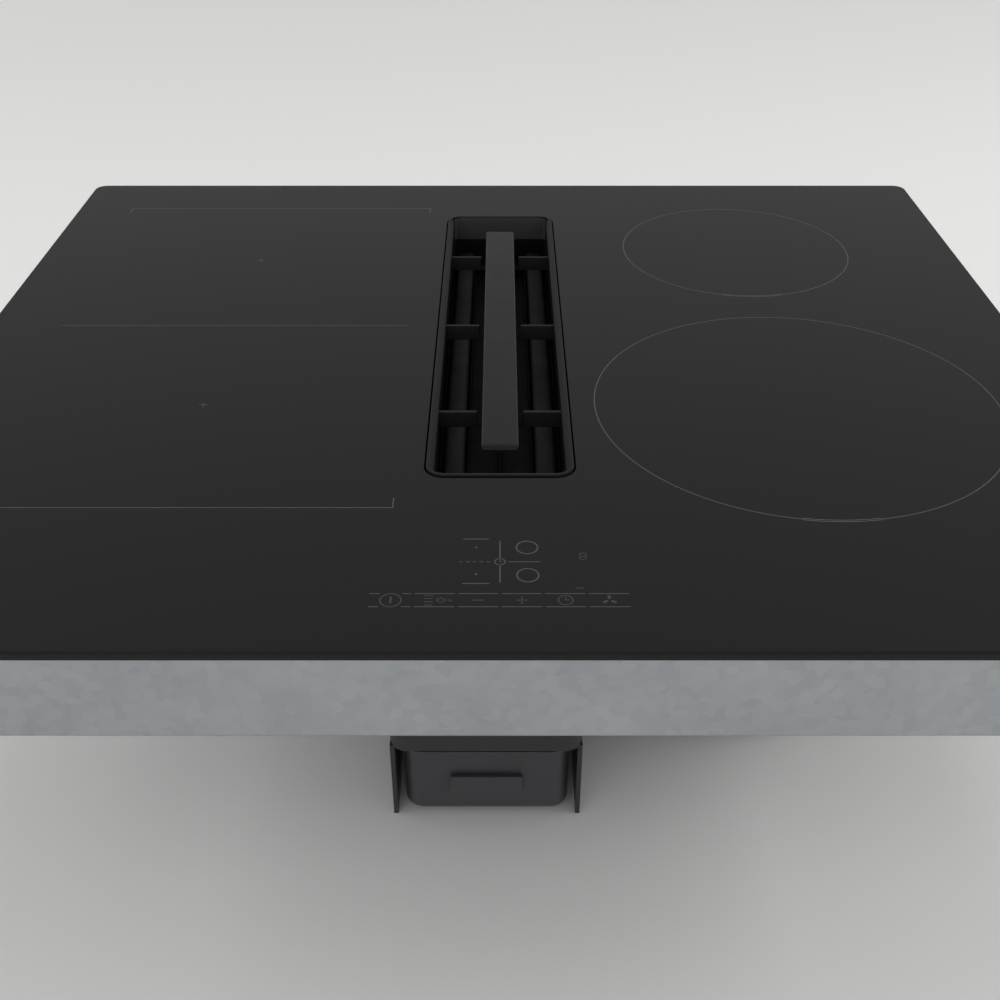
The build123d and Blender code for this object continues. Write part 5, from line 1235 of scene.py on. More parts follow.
@dataclass
class GreaseFilter(SubAssembly):
    """The lift-out baffle filter: frame, cross ties, two hooded blades, a trough and two gutters."""

    wall_plan: Plan = Plan(67.2, 328.8, 7.4, y=INLET_Y)
    inner: Plan = Plan(64.2, 325.8, 2.5, y=INLET_Y)
    rim_top: float = -10.3
    rim_bottom: float = -13.3
    bottom: float = -58.0
    tie_pitch: float = 110.0
    tie_top: float = -38.0
    sheet: float = 0.8
    blade_x: float = 23.5
    blade_width: float = 10.2
    blade_top: float = -20.0
    blade_height: float = 11.1
    blade_rise: float = 1.2
    trough_width: float = 35.0
    lip: float = 8.0
    end_gap: float = 5.0
    gutter_x: float = 28.8
    gutter_width: float = 6.2

    def frame_shape(self) -> Shape:
        """The folded frame: its profile runs up the wall, out and over the rim, down the inside."""
        low, under, top, reach = self.bottom, self.rim_bottom, self.rim_top, 2.0
        outside = [(reach, low), (0, low), (0, under), (reach, under), (reach, top), (-reach, top)]
        outer = soften(outside, [0, 0.3, 0.4, 0.5, 0.8, 0])[1:-1]
        inner = soften([(2, top), (0, top), (0, low), (2, low)], [0, 0.6, 0.3, 0])[1:-1]
        return grid(np.concatenate([self.wall_plan.loops(outer), self.inner.loops(inner)]), Ends.JOINED)

    def blade(self, x: float) -> Shape:
        """A hooded blade, bent from one sheet.

        Its crown is a parabola that is highest towards the middle of the inlet: the rise times
        one minus 0.74 times the square of the distance from that place, as a share of the
        greatest one. A tight bend leads down into each leg.

        Args:
            x: middle of the blade.

        Returns:
            The blade.
        """
        half = (self.blade_width - self.sheet) / 2
        share = np.linspace(-1.0, 1.0, 11)
        top = self.blade_top - self.sheet / 2
        shoulder, foot = top - self.blade_rise, self.blade_top - self.blade_height
        off = (share + 0.6 * np.sign(x)) / 1.6
        height = shoulder + self.blade_rise * (1 - 0.74 * off**2)
        crown = np.stack([x + 0.86 * half * share, height], axis=-1)
        left = soften([(x - half, foot), (x - half, crown[0, 1] - 0.3), tuple(crown[1])], [0, 0.7, 0])[:-1]
        right = soften([tuple(crown[-2]), (x + half, crown[-1, 1] - 0.3), (x + half, foot)], [0, 0.7, 0])[1:]
        path = np.concatenate([left, crown[1:-1], right])
        return along_y(sheet_outline(path, self.sheet), self.inner.depth - 0.4, INLET_Y)

    def channel(self, x: float, width: float) -> Shape:
        """A folded channel, open at the top, with its lips hemmed over."""
        half = width / 2 - self.sheet / 2
        low, high = self.tie_top + self.sheet / 2, self.tie_top + self.lip
        corners = [(x - half, high), (x - half, low), (x + half, low), (x + half, high)]
        path = soften(corners, [0, 1.2, 1.2, 0])
        return along_y(sheet_outline(path, self.sheet), self.inner.depth - self.end_gap, INLET_Y)

    def build(self) -> None:
        """Make the frame and ties, the blades, and the trough with its gutters."""
        ties = []
        for step in STEPS:
            tie = Plan(self.inner.width + 1.5, 3.0, 0.8, y=INLET_Y + step * self.tie_pitch)
            ties.append(block(tie, self.tie_top - 3.0, self.tie_top, 0.4, 0.4))
        self.add("filter_folded_frame", join([self.frame_shape()] + ties), ["filter_frame"], "grease_filter")
        blades = [self.blade(side.value * self.blade_x) for side in Side]
        self.add("filter_hooded_blades", join(blades), ["upper_baffles"], "grease_filter", bevel=0.15)
        rib = Plan(self.sheet, self.inner.depth - self.end_gap, 0.1, y=INLET_Y)
        parts = [self.channel(0.0, self.trough_width)]
        parts.append(block(rib, self.tie_top + 0.4, self.tie_top + 5.0, 0.1, 0.1))
        parts += [self.channel(side.value * self.gutter_x, self.gutter_width) for side in Side]
        self.add("filter_trough_and_gutters", join(parts), ["lower_baffles"], "grease_filter", bevel=0.15)

    def dress(self) -> None:
        """Give the filter its coat: the blades one tone, and the frame, trough and gutters a darker
        one, painted shade.
        """
        self.coat(FILTER, "filter_hooded_blades")
        self.coat(SHADED_TROUGH, "filter_folded_frame", "filter_trough_and_gutters")


@dataclass
class InletShaft(SubAssembly):
    """The moulded shaft that the grille and the filter stand in, and its foam gasket."""

    plan: Plan = Plan(72.4, 334.0, 10.0, y=INLET_Y, steps=12)
    gasket: Plan = Plan(76.0, 337.6, 11.8, y=INLET_Y)

    def build(self) -> None:
        """Make the shaft, from its flange under the glass over the filter's step, and the gasket."""
        outside = [(9.8, 1.0), (9.8, -1.0), (2.5, -1.0), (2.5, -16.1), (0.3, -16.1), (0.3, -70.0)]
        corners = outside + [(-2.2, -70.0), (-2.2, -13.6), (0.0, -13.6), (0.0, 1.0)]
        radii = [0.3, 0.3, 1.0, 0.5, 1.0, 0.4, 0.4, 0.5, 0.6, 0.3]
        self.add("inlet_moulding", ring(self.plan, corners, radii), ["inlet_shaft"])
        foam = ring(self.gasket, [(0, -60.4), (0, -58.0), (-1.4, -58.0), (-1.4, -60.4)], [0.3] * 4)
        gasket = self.add("foam_gasket", foam, ["shaft_gasket"])

    def dress(self) -> None:
        """Give the shaft and the gasket their finishes."""
        self.coat(GRILLE, "inlet_moulding")
        self.coat(SEAL, "foam_gasket")


# ---------------------------------------------------------------- cooking zones
def spiral(eye: Plan, reach: float, gain: float, turns: int, per_turn: int = 56) -> Array:
    """The middle line of a flat winding.

    It runs round a rectangle with round corners whose half sides grow evenly with the angle;
    the point at an angle is the corner's centre plus the corner's radius times the cosine and
    sine of that angle.

    Args:
        eye: the rectangle that the first turn follows.
        reach: how far the half sides grow.
        gain: growth of the corners' radius for each millimetre of that.
        turns: number of turns.
        per_turn: points in each turn.

    Returns:
        The points of the line in X and Y.
    """
    turn = np.arange(turns * per_turn + 1) / per_turn
    angle = 2 * np.pi * (turn + 0.5 / per_turn)
    out = reach * turn / turns
    radius = eye.radius + gain * out
    x = eye.x + np.sign(np.cos(angle)) * (eye.width / 2 + out - radius) + radius * np.cos(angle)
    y = eye.y + np.sign(np.sin(angle)) * (eye.depth / 2 + out - radius) + radius * np.sin(angle)
    return np.stack([x, y], axis=-1)


def rope(path: Array, z: float, radius: float, sides: int = 8) -> Shape:
    """A round rope along a flat path.

    Each path point gives a circle that spans the path's side normal and the upright: the
    point plus the radius times the cosine of an angle along the normal and its sine upwards.

    Args:
        path: points of its middle line in X and Y.
        z: height of the middle line.
        radius: radius of the rope.
        sides: points round it.

    Returns:
        The closed surface of the rope.
    """
    angle = full_turn(sides)
    across = side_normals(path, closed=False)[:, None, :] * (radius * np.cos(angle))[None, :, None]
    height = np.broadcast_to((z + radius * np.sin(angle))[None, :, None], (len(path), sides, 1))
    return grid(np.concatenate([path[:, None, :] + across, height], axis=-1), Ends.CAPPED)


@dataclass
class CookingZones(SubAssembly):
    """Four flat windings of litz on their carriers, with mica, sensors, ferrites and plates."""

    zone_x: float = 153.4
    combi_eye: tuple[float, float, float] = (60.0, 52.0, 18.0)
    combi_reach: float = 62.0
    combi_gain: float = 0.42
    round_eye: float = 20.0
    wire: float = 4.5
    height: float = -1.85

    def winding(self, eye: Plan, reach: float, gain: float) -> Shape:
        """One winding, its turns laid side by side from the eye to the outer edge."""
        wire = self.wire
        inset = Plan(eye.width + wire, eye.depth + wire, eye.radius + wire / 2, eye.x, eye.y)
        turns = int((reach - wire) / wire)
        return rope(spiral(inset, reach - wire, gain, turns), self.height, wire / 2 - 0.05)

    def build(self) -> None:
        """Wind the two coils of the combined zone and the two round ones."""
        for name, y in (("left_front", -66.4), ("left_rear", 121.4)):
            eye = Plan(*self.combi_eye, -self.zone_x, y)
            coil = self.winding(eye, self.combi_reach, self.combi_gain)
            self.add("litz_winding_" + name, coil, ["coil_" + name])
        for name, y, outer in (("right_front", -67.1, 92.0), ("right_rear", 139.4, 66.0)):
            eye = Plan(2 * self.round_eye, 2 * self.round_eye, self.round_eye, self.zone_x, y)
            coil = self.winding(eye, outer - self.round_eye, 1.0)
            self.add("litz_winding_" + name, coil, ["coil_" + name])

    def dress(self) -> None:
        """Give the windings, carriers, mica, sensors, ferrites and plates their finishes."""
        zones = ("left_front", "left_rear", "right_front", "right_rear")
        self.coat(LITZ, *("litz_winding_" + zone for zone in zones))
        self.coat(CARRIER, *("coil_carrier_" + zone for zone in zones))
        self.coat(MICA, "mica_sheets")
        self.coat(PROBE, "temperature_sensors")
        self.coat(FERRITE, "ferrite_bars")
        self.coat(ALUMINIUM, "coil_plate_left", "coil_plate_right")


# ---------------------------------------------------------------- wheels, scrolls and screws
def blades(
    root: float, tip: float, sweep: float, thickness: float, bottom: float, top: float, count: int
) -> list[Shape]:
    """The blades of a wheel, curved forwards.

    At a share t of the way from root to tip a blade has turned by its sweep times
    1.2 t^2 - 0.2 t, and its second face lies a thickness further round.

    Args:
        root: radius at which the blades begin.
        tip: radius at which they end.
        sweep: degrees that the tip leads the root.
        thickness: thickness of a blade.
        bottom: height of their lower edges.
        top: height of their upper edges.
        count: number of blades.

    Returns:
        The blades, evenly round the axis.
    """
    t = np.linspace(0.0, 1.0, 7)
    radius = root + (tip - root) * t
    back = np.radians(sweep) * (1.2 * t**2 - 0.2 * t)
    front = back + thickness / radius
    angle = np.concatenate([back, front[::-1]])
    radius = np.concatenate([radius, radius[::-1]])
    blade = prism(np.stack([radius * np.cos(angle), radius * np.sin(angle)], axis=-1), bottom, top)
    return [blade.turned(360 * index / count) for index in range(count)]


@dataclass(frozen=True)
class Wheel:
    """A radial wheel: a back plate with a dome for its motor, a ring of blades and a rim.

    The hub hangs in the dome round the bore; the sheet is the thickness of plate and dome.
    """

    tip: float = 80.0
    root: float = 62.0
    count: int = 36
    height: float = 50.0
    sheet: float = 1.6
    dome: float = 45.0
    dome_height: float = 36.0
    rim: float = 4.5
    hub: float = 9.0
    hub_depth: float = 5.0
    bore: float = 4.02
    sweep: float = 9.0
    thickness: float = 1.2

    def shape(self) -> Shape:
        """The wheel on Z = 0: its turned plate and dome, its rim and its blades."""
        sheet, inside = self.sheet, self.dome_height - self.sheet
        dome, top, hub_end = self.dome, self.dome_height, inside - self.hub_depth
        upper = [(self.tip, 0.0), (self.tip, sheet), (dome, sheet), (dome, top), (self.bore, top)]
        hub = [(self.bore, hub_end), (self.hub, hub_end), (self.hub, inside)]
        corners = upper + hub + [(dome - sheet, inside), (dome - sheet, 0.0)]
        soft = dome / 8
        radii = [0.4, 0.4, soft / 2, soft, 0.2, 0.3, 0.5, 0.5, soft / 2, 0.5]
        plate = lathe(soften(corners, radii, closed=True), 0, 0, Ends.JOINED, 72)
        level, half = sheet + self.height, self.rim / 2
        end = pipe(self.tip, self.tip - self.rim, level - half, level + half, 0, 0, 72)
        tip = self.tip - sheet / 2
        around = blades(self.root, tip, self.sweep, self.thickness, sheet / 2, level, self.count)
        return join([plate, end] + around)


def scroll_line(first: float, step: float, tongue: float, reach: float, grow: float) -> Array:
    """The outline of a scroll round its axis, open at its mouth towards +Y.

    Three quarter arcs about the corners of a square widen by the square's side each time, so
    the spiral is smooth where they meet; straight sides lead to the mouth.

    Args:
        first: radius of the first arc.
        step: growth of the radius at each quarter turn, and the side of the square.
        tongue: where the mouth begins, to the right of the axis.
        reach: how far the mouth is behind the axis.
        grow: distance by which the whole outline is moved outwards.

    Returns:
        The points from the tongue's side of the mouth round to its other side.
    """
    half, radius, left = step / 2, first + grow, tongue - grow
    start = math.degrees(math.acos((left + half) / radius))
    return np.concatenate(
        [
            [[left, reach]],
            arc(-half, -half, radius, start, 180 - start, 30),
            arc(half, -half, radius + step, 180, 90, 22)[1:],
            arc(half, half, radius + 2 * step, 270, 90, 24)[1:],
            [[half + radius + 2 * step, reach]],
        ]
    )


def screw(radius: float, height: float, shank: float, length: float, steps: int = 48) -> Shape:
    """A pan-head screw that points down from Z = 0, with a cross recess in its head.

    Each loop runs round the axis. On the shank and the head its radius is the same all round;
    in the recess it follows a cross whose edge, at angle a, is the larger of
    min(w/|sin a|, l/|cos a|) and min(w/|cos a|, l/|sin a|), for arms of half-width w and reach l.

    Args:
        radius: radius of the head.
        height: height of the head.
        shank: radius of the shank.
        length: length of the shank.
        steps: points round each loop.

    Returns:
        The screw.
    """
    angle = full_turn(steps)
    sine, cosine = np.maximum(np.abs([np.sin(angle), np.cos(angle)]), 1e-6)
    width, reach = 0.15 * radius, 0.58 * radius
    cross = np.maximum(np.minimum(width / sine, reach / cosine), np.minimum(width / cosine, reach / sine))
    even = np.ones_like(angle)
    shaft = [(0.3 * shank * even, -length), (shank * even, shank - length), (shank * even, 0.0)]
    shares = [(0.96, 0.0), (1.0, 0.1), (1.0, 0.5), (0.93, 0.82), (0.74, 1.0)]
    head = [(out * radius * even, up * height) for out, up in shares]
    recess = [(out * cross, up * height) for out, up in ((1.0, 1.0), (0.88, 0.85), (0.6, 0.3))]
    return turned_rows(shaft + head + recess, Ends.CAPPED)


# ---------------------------------------------------------------- base pan
def louvre_hood(width: float, top: float, bottom: float, proud: float, sheet: float = 0.8) -> Shape:
    """A hood pressed out over a louvre, open below.

    Across its width u runs from -1 to 1 and down it v from 0 to 1; the sheet stands out by
    its full amount times (1 - u^4) times the sine of a quarter turn at v.

    Args:
        width: length of the louvre.
        top: height at which the hood leaves the wall.
        bottom: height of its open edge.
        proud: how far it stands out of the wall.
        sheet: thickness of the sheet.

    Returns:
        The hood, on a wall whose outer face is Y = 0.
    """
    u, v = np.linspace(-1.0, 1.0, 13)[:, None], np.linspace(0.0, 1.0, 7)[None, :]
    swell = proud * (1 - u**4) * np.sin(np.pi / 2 * v)
    out = np.concatenate([swell, swell[:, ::-1] - sheet], axis=1)
    height = top + (bottom - top) * np.concatenate([v, v[:, ::-1]], axis=1) + 0 * out
    return grid(np.stack([u * width / 2 + 0 * out, out, height], axis=-1), Ends.CAPPED)


@dataclass
class BasePan(SubAssembly):
    """The zinc-plated pan with its slots and hooded louvres, its screws and its spring clips."""

    plan: Plan = Plan(556.0, 486.0, 6.0)
    bottom: float = -58.0
    top: float = 0.6
    sheet: float = 1.0
    inlet: Plan = Plan(75.0, 336.6, 11.3, y=INLET_Y)
    fan_x: float = 208.9
    fan_y: float = -205.5
    slot_pitch: float = 8.0
    bay_x: float = 160.9
    louvre_pitch: float = 18.0
    louvre_z: float = -40.0
    screw_z: float = -7.0
    screw_reach: float = 180.0

    def openings(self) -> list[Shape]:
        """What is cut out of the pan: the slots under the fans and the louvres at the back."""
        cuts = []
        back = self.plan.depth / 2
        for side in Side:
            for step in np.arange(6) - 2.5:
                x = side.value * self.fan_x + step * self.slot_pitch
                slot = Plan(4.0, 42.0, 1.8, x, self.fan_y, 4)
                cuts.append(block(slot, self.bottom - 2, self.bottom + 3, 0.1, 0.1))
            for x in self.louvre_places(side):
                gap = Plan(14.0, 4.0, 0.3, x, back, 2)
                cuts.append(block(gap, self.louvre_z - 2, self.louvre_z + 2, 0.1, 0.1))
        return cuts

    def louvre_places(self, side: Side) -> Array:
        """The X of each of the nine louvres on one side of the back wall."""
        return side.value * self.bay_x + (np.arange(9) - 4.0) * self.louvre_pitch

    def shell(self) -> Shape:
        """The pan with the inlet's hole in its floor.

        It is one closed band: from the hole out under the floor, up the outside, over the rim,
        down the inside and back over the floor to the hole.

        Returns:
            The uncut pan.
        """
        low, inside, sheet = self.bottom, self.bottom + self.sheet, self.sheet
        corners = [(-20, low), (0, low), (0, self.top), (-sheet, self.top), (-sheet, inside), (-20, inside)]
        outer = soften(corners, [0, 1.8, 0.4, 0.4, 0.9, 0])[1:-1]
        hole = np.array([[0.0, inside], [0.0, low]])
        return grid(np.concatenate([self.plan.loops(outer), self.inlet.loops(hole)]), Ends.JOINED)

    def hoods(self) -> list[Shape]:
        """The hoods over the louvres in the back wall."""
        hood = louvre_hood(15.6, self.louvre_z + 3.2, self.louvre_z - 1.6, 2.3)
        back = self.plan.depth / 2
        return [hood.moved(x, back, 0.0) for side in Side for x in self.louvre_places(side)]

    def screws(self) -> list[Shape]:
        """The screws through the pan's walls into the bonded angle."""
        head = screw(3.2, 1.4, 1.5, 6.0)
        side_x, side_y, far = self.plan.width / 2, self.plan.depth / 2, self.screw_reach
        right = [head.turned(90, 1).moved(side_x, y, self.screw_z) for y in (-far, 0.0, far)]
        left = [head.turned(-90, 1).moved(-side_x, y, self.screw_z) for y in (-far, 0.0, far)]
        back = [head.turned(-90, 0).moved(x, side_y, self.screw_z) for x in (-far, far)]
        front = [head.turned(90, 0).moved(x, -side_y, self.screw_z) for x in (-far, far)]
        return right + left + back + front

    def clip(self) -> Shape:
        """A leaf spring: down the wall of the pan, round a tight fold and out again upwards."""
        wall_x = self.plan.width / 2 + 0.4
        corners = [(0, -10), (0, -47.6), (0.9, -47.8), (8.0, -32.0), (7.2, -24.2)]
        path = soften(corners, [0, 0.5, 0.5, 2.5, 0]) + np.array([wall_x, 0.0])
        return along_y(sheet_outline(path, 0.8), 16.0, 0.0)

    def build(self) -> None:
        """Make the pan, its hoods, screws and clips."""
        self.add("pressed_base_pan", self.shell(), ["base_pan"], holes=self.openings())
        self.add("rear_louvre_hoods", join(self.hoods()))
        self.add("pan_wall_screws", join(self.screws()), ["pan_screws"])
        clips = [self.clip().moved(y=y) for y in (-120.0, 120.0)]
        clips += [clip.mirrored() for clip in clips]
        self.add("side_spring_clips", join(clips), ["spring_clips"], bevel=0.15)

    def dress(self) -> None:
        """Give the pan, its screws and its clips their finishes."""
        self.coat(ZINC, "pressed_base_pan", "rear_louvre_hoods")
        self.coat(SCREW, "pan_wall_screws")
        self.coat(SPRING, "side_spring_clips")


# ---------------------------------------------------------------- extractor housing
@dataclass
class ExtractorHousing(SubAssembly):
    """The sump under the inlet and the fan chamber beside it, hung from the plenum cover."""

    sump: Plan = Plan(105.0, 353.6, 10.0, -7.5, INLET_Y, 10)
    top: float = -60.5
    floor: float = -165.0
    base: float = -218.0
    wall: float = 2.5
    rail_reach: float = 48.0
    rail_top: float = -171.0
    locator_x: float = 31.3
    locator_reach: float = 90.0
    locator_top: float = -155.5
    drain_y: float = -125.8
    chamber: Plan = Plan(237.0, 200.0, 10.0, 143.5, 25.0, 10)
    chamber_left: float = 45.0
    window: tuple[float, float] = (-112.0, -68.5)
    chamber_bottom: float = -120.0
    blower_x: float = 152.0
    blower_y: float = 30.0
    boss_drop: float = 14.0
    boss_off: float = 4.0

    def sump_bosses(self) -> list[tuple[float, float]]:
        """Where screws hold the sump, just outside its walls."""
        x, y = self.sump.x, self.sump.y
        side, end = self.sump.width / 2 + self.boss_off, self.sump.depth / 2 + self.boss_off
        beside = [(x - side, y + step * self.sump.depth / 3) for step in STEPS]
        return beside + [(x, y - end), (x, y + end)]

    def chamber_bosses(self) -> list[tuple[float, float]]:
        """Where screws hold the chamber, just outside its walls."""
        right, off = self.chamber.x + self.chamber.width / 2, self.boss_off
        middle, y, half = (self.chamber_left + right) / 2, self.chamber.y, self.chamber.depth / 2
        beside = [(right + off, y - half / 2), (right + off, y + half / 2)]
        return beside + [(middle, y - half - off), (middle, y + half + off)]

    def boss(self, x: float, y: float) -> Shape:
        """A screw boss that hangs from the plane of the cover."""
        return pipe(5.0, 1.8, self.top - self.boss_drop, self.top, x, y, 36)

    def skirt(self) -> Shape:
        """The skirt under the sump that the overflow tank slides into, open in front."""
        inset, side, end = self.wall / 2, self.sump.width / 2, self.sump.depth / 2
        left, right = self.sump.x - side + inset, self.sump.x + side - inset
        back, front = self.sump.y + end - inset, self.sump.y - end + 4.5
        corners = [(right, front), (right, back), (left, back), (left, front)]
        return wall(soften(corners, [0, 10.0, 10.0, 0]), self.wall, self.base, self.floor + 0.5)

    def build_sump(self) -> None:
        """Make the sump with its window to the chamber, its skirt, rails, locators and drain."""
        window = Plan(10.0, 184.0, 1.0, self.chamber_left, self.chamber.y, 3)
        tank = tub(self.sump, self.floor, self.top, self.wall, 1.0)
        self.add("sump_moulding", tank, ["sump"], holes=[block(window, *self.window, 0.1, 0.1)])
        details = [self.skirt()] + [self.boss(x, y) for x, y in self.sump_bosses()]
        for side in Side:
            x = self.sump.x + side.value * self.rail_reach
            rail = Plan(4.0, self.sump.depth - 20.0, 0.3, x, INLET_Y, 3)
            details.append(block(rail, self.rail_top - 2.0, self.rail_top))
            for y in (INLET_Y - self.locator_reach, INLET_Y + self.locator_reach):
                locator = Plan(2.0, 60.0, 0.4, side.value * self.locator_x, y, 3)
                details.append(block(locator, self.floor + self.wall - 0.2, self.locator_top, 0.6, 0.0))
        drain = pipe(5.0, 3.5, self.floor - 3.5, self.floor + 0.3, self.sump.x, self.drain_y, 36)
        self.add("sump_skirt_rails_and_bosses", join(details + [drain]))

    def build_chamber(self) -> None:
        """Make the chamber, open to the sump and to the blower's eye, and its bosses."""
        shell = tub(self.chamber, self.chamber_bottom, self.top, self.wall, 1.5)
        open_side = Plan(40.0, 220.0, 1.0, self.chamber_left - 20.0, self.chamber.y, 3)
        eye = disc(75.0, -124.0, -116.0, self.blower_x, self.blower_y, 0.0, 96)
        cuts = [block(open_side, -125.0, -55.0, 0.1, 0.1), eye]
        self.add("chamber_moulding", shell, ["fan_chamber"], holes=cuts)
        self.add("chamber_bosses", join([self.boss(x, y) for x, y in self.chamber_bosses()]))

    def build(self) -> None:
        """Make the sump, the chamber and the screws that hang them from the plenum cover."""
        self.build_sump()
        self.build_chamber()
        head = screw(3.6, 2.0, 1.7, 18.5).turned(180, 0)
        places = self.sump_bosses() + self.chamber_bosses()
        screws = [head.moved(x, y, self.top - self.boss_drop) for x, y in places]
        self.add("housing_screw_set", join(screws), ["housing_screws"])

    def dress(self) -> None:
        """Give the mouldings and the screws their finishes."""
        self.coat(HOUSING, "sump_moulding", "sump_skirt_rails_and_bosses", "plenum_cover")
        self.coat(HOUSING, "chamber_moulding", "chamber_bosses")
        self.coat(SCREW, "housing_screw_set")


# ---------------------------------------------------------------- blower and duct
@dataclass
class Blower(SubAssembly):
    """The radial blower under the chamber: scroll, bell mouth, forward-curved wheel and motor."""

    x: float = 152.0
    y: float = 30.0
    lid: float = -120.0
    wall: float = 2.5
    floor: float = -206.35
    base: float = -218.0
    plate: float = -189.85
    flange: float = -211.85
    axle: tuple[float, float] = (-213.35, -153.85)
    seats: tuple[float, float] = (-170.45, -211.85)
    mount: float = 47.0
    first: float = 94.0
    step: float = 8.0
    tongue: float = 30.0
    reach: float = 98.0
    throat: float = 62.0
    curve: float = 12.0

    def outline(self, grow: float, reach: float) -> Array:
        """The scroll's outline in its place."""
        return scroll_line(self.first, self.step, self.tongue, reach, grow) + np.array([self.x, self.y])

    def bell(self) -> Shape:
        """The bell mouth: a quarter circle that turns the air down, of even thickness."""
        rim, end = self.throat + self.curve, self.lid - self.curve
        inner = arc(rim, end, self.curve, 90, 90, 14)
        outer = arc(rim, end, self.curve - self.wall, 180, -90, 12)
        return lathe(np.concatenate([inner, outer]), self.x, self.y, Ends.JOINED, 96)

    def motor(self) -> Shape:
        """The motor: a can in the wheel's dome, a flange, a stepped cap and bearing seats.

        Its profile runs in and up the flange and the can, down the bore and out along the cap.
        """
        corners = [(54.0, -211.85), (54.0, -209.35), (38.0, -209.35), (38.0, -163.45)]
        corners += [(11.05, -163.45), (11.05, -170.45), (4.4, -170.45), (4.4, -204.85)]
        corners += [(11.05, -204.85), (11.05, -211.0), (4.4, -211.0), (4.4, -213.85), (1.0, -213.85)]
        corners += [(1.0, -214.85), (24.0, -214.85), (24.0, -214.0), (30.0, -213.6), (30.0, -211.85)]
        radii = [0.6, 0.6, 1.0, 3.0, 0.3, 0.1, 0.2, 0.2, 0.1, 0.1, 0.1, 0.1, 0.1, 0.1, 0.4, 0.4, 0.8, 0.6]
        return lathe(soften(corners, radii, closed=True), self.x, self.y, Ends.JOINED, 96)

    def build(self) -> None:
        """Make the scroll, its lid and foot, the wheel and shaft, the motor and its mounts."""
        x, y, top = self.x, self.y, self.lid - self.wall
        outside = self.outline(self.wall, self.reach)
        hollow = prism(self.outline(0.0, self.reach + 2), self.floor + self.wall, top + 2)
        for_motor = disc(39.0, self.floor - 2, self.floor + 1.2 * self.wall, x, y, 0.0, 72)
        scroll = prism(outside, self.floor, top)
        self.add("scroll_moulding", scroll, ["scroll_body"], bevel=0.8, holes=[hollow, for_motor])
        self.add("scroll_foot_ring", pipe(63.0, 60.0, self.base, self.floor + 0.3, x, y, 96))
        mouth = disc(self.throat + self.curve - 0.2, top - 2, self.lid + 2, x, y, 0.0, 96)
        self.add("scroll_lid", prism(outside, top, self.lid), ["scroll_cover"], bevel=0.4, holes=[mouth])
        self.add("bell_mouth_ring", self.bell())
        wheel = Wheel().shape().moved(x, y, self.plate)
        self.add("blower_wheel_moulding", wheel, ["blower_impeller"], "blower_wheel", 0.15)
        axle = disc(4.0, *self.axle, x, y, 0.5)
        self.add("blower_axle", axle, ["blower_shaft"], "blower_wheel")
        self.add("motor_can_and_flange", self.motor(), ["blower_motor"])
        seats = [pipe(11.0, 4.05, low, low + 7.0, x, y, 48) for low in self.seats]
        self.add("motor_bearing_rings", join(seats), ["motor_bearings"])
        places = arc(x, y, self.mount, 45, 270, 4)
        bushes = [disc(5.0, self.flange + 2.5, self.flange + 5.5, *place, 0.8, 32) for place in places]
        self.add("damper_bushes", join(bushes), ["motor_dampers"])
        bolt = screw(3.4, 1.8, 1.5, 4.0).turned(180, 0)
        self.add("motor_mount_screws", join([bolt.moved(*place, self.flange) for place in places]))

    def dress(self) -> None:
        """Give the mouldings, the motor and its mounts their finishes."""
        self.coat(HOUSING, "scroll_moulding", "scroll_foot_ring", "scroll_lid", "bell_mouth_ring")
        self.coat(WHEEL, "blower_wheel_moulding")
        self.coat(BEARING, "blower_axle", "motor_bearing_rings")
        self.coat(MOTOR, "motor_can_and_flange")
        self.coat(RUBBER, "damper_bushes")
        self.coat(SCREW, "motor_mount_screws")


@dataclass
class OutletDuct(SubAssembly):
    """The duct from the scroll's mouth to the flat spigot at the back, with a bead at its end."""

    mouth: Plan = Plan(89.0, 86.35, 8.0, 224.0, -163.175, 10)
    spigot: Plan = Plan(222.0, 89.0, 8.0, 157.5, -160.5, 10)
    mouth_y: float = 128.0
    spigot_y: float = 210.0
    end_y: float = 243.0
    wall: float = 2.5

    def build(self) -> None:
        """Make the duct.

        Its loops are rectangles with round corners in X and Z: the outside from the mouth to
        the spigot's end with the bead, then the inside all the way back.
        """
        end, inner = self.end_y, -self.wall
        ramp = [(0, end - 13), (0, end - 12.3), (1.0, end - 11.7), (1.0, end - 8.3), (0, end - 7.7)]
        bead = soften(ramp + [(0, end)], [0, 0.3, 0.4, 0.4, 0.3, 0])
        lip = soften([(0, end - 4), (0, end), (inner, end), (inner, end - 4)], [0, 0.6, 0.6, 0])
        outside = np.concatenate([[[0.0, self.spigot_y]], bead[:-1], lip[1:-1], [[inner, self.spigot_y]]])
        first, last = self.mouth.loops(np.array([[0.0, self.mouth_y], [inner, self.mouth_y]]))
        loops = np.concatenate([first[None], self.spigot.loops(outside), last[None]])
        duct = grid(loops, Ends.JOINED).swapped((0, 2, 1))
        self.add("outlet_duct_moulding", duct, ["outlet_duct"])

    def dress(self) -> None:
        """Give the duct its finish."""
        self.coat(DUCT, "outlet_duct_moulding")


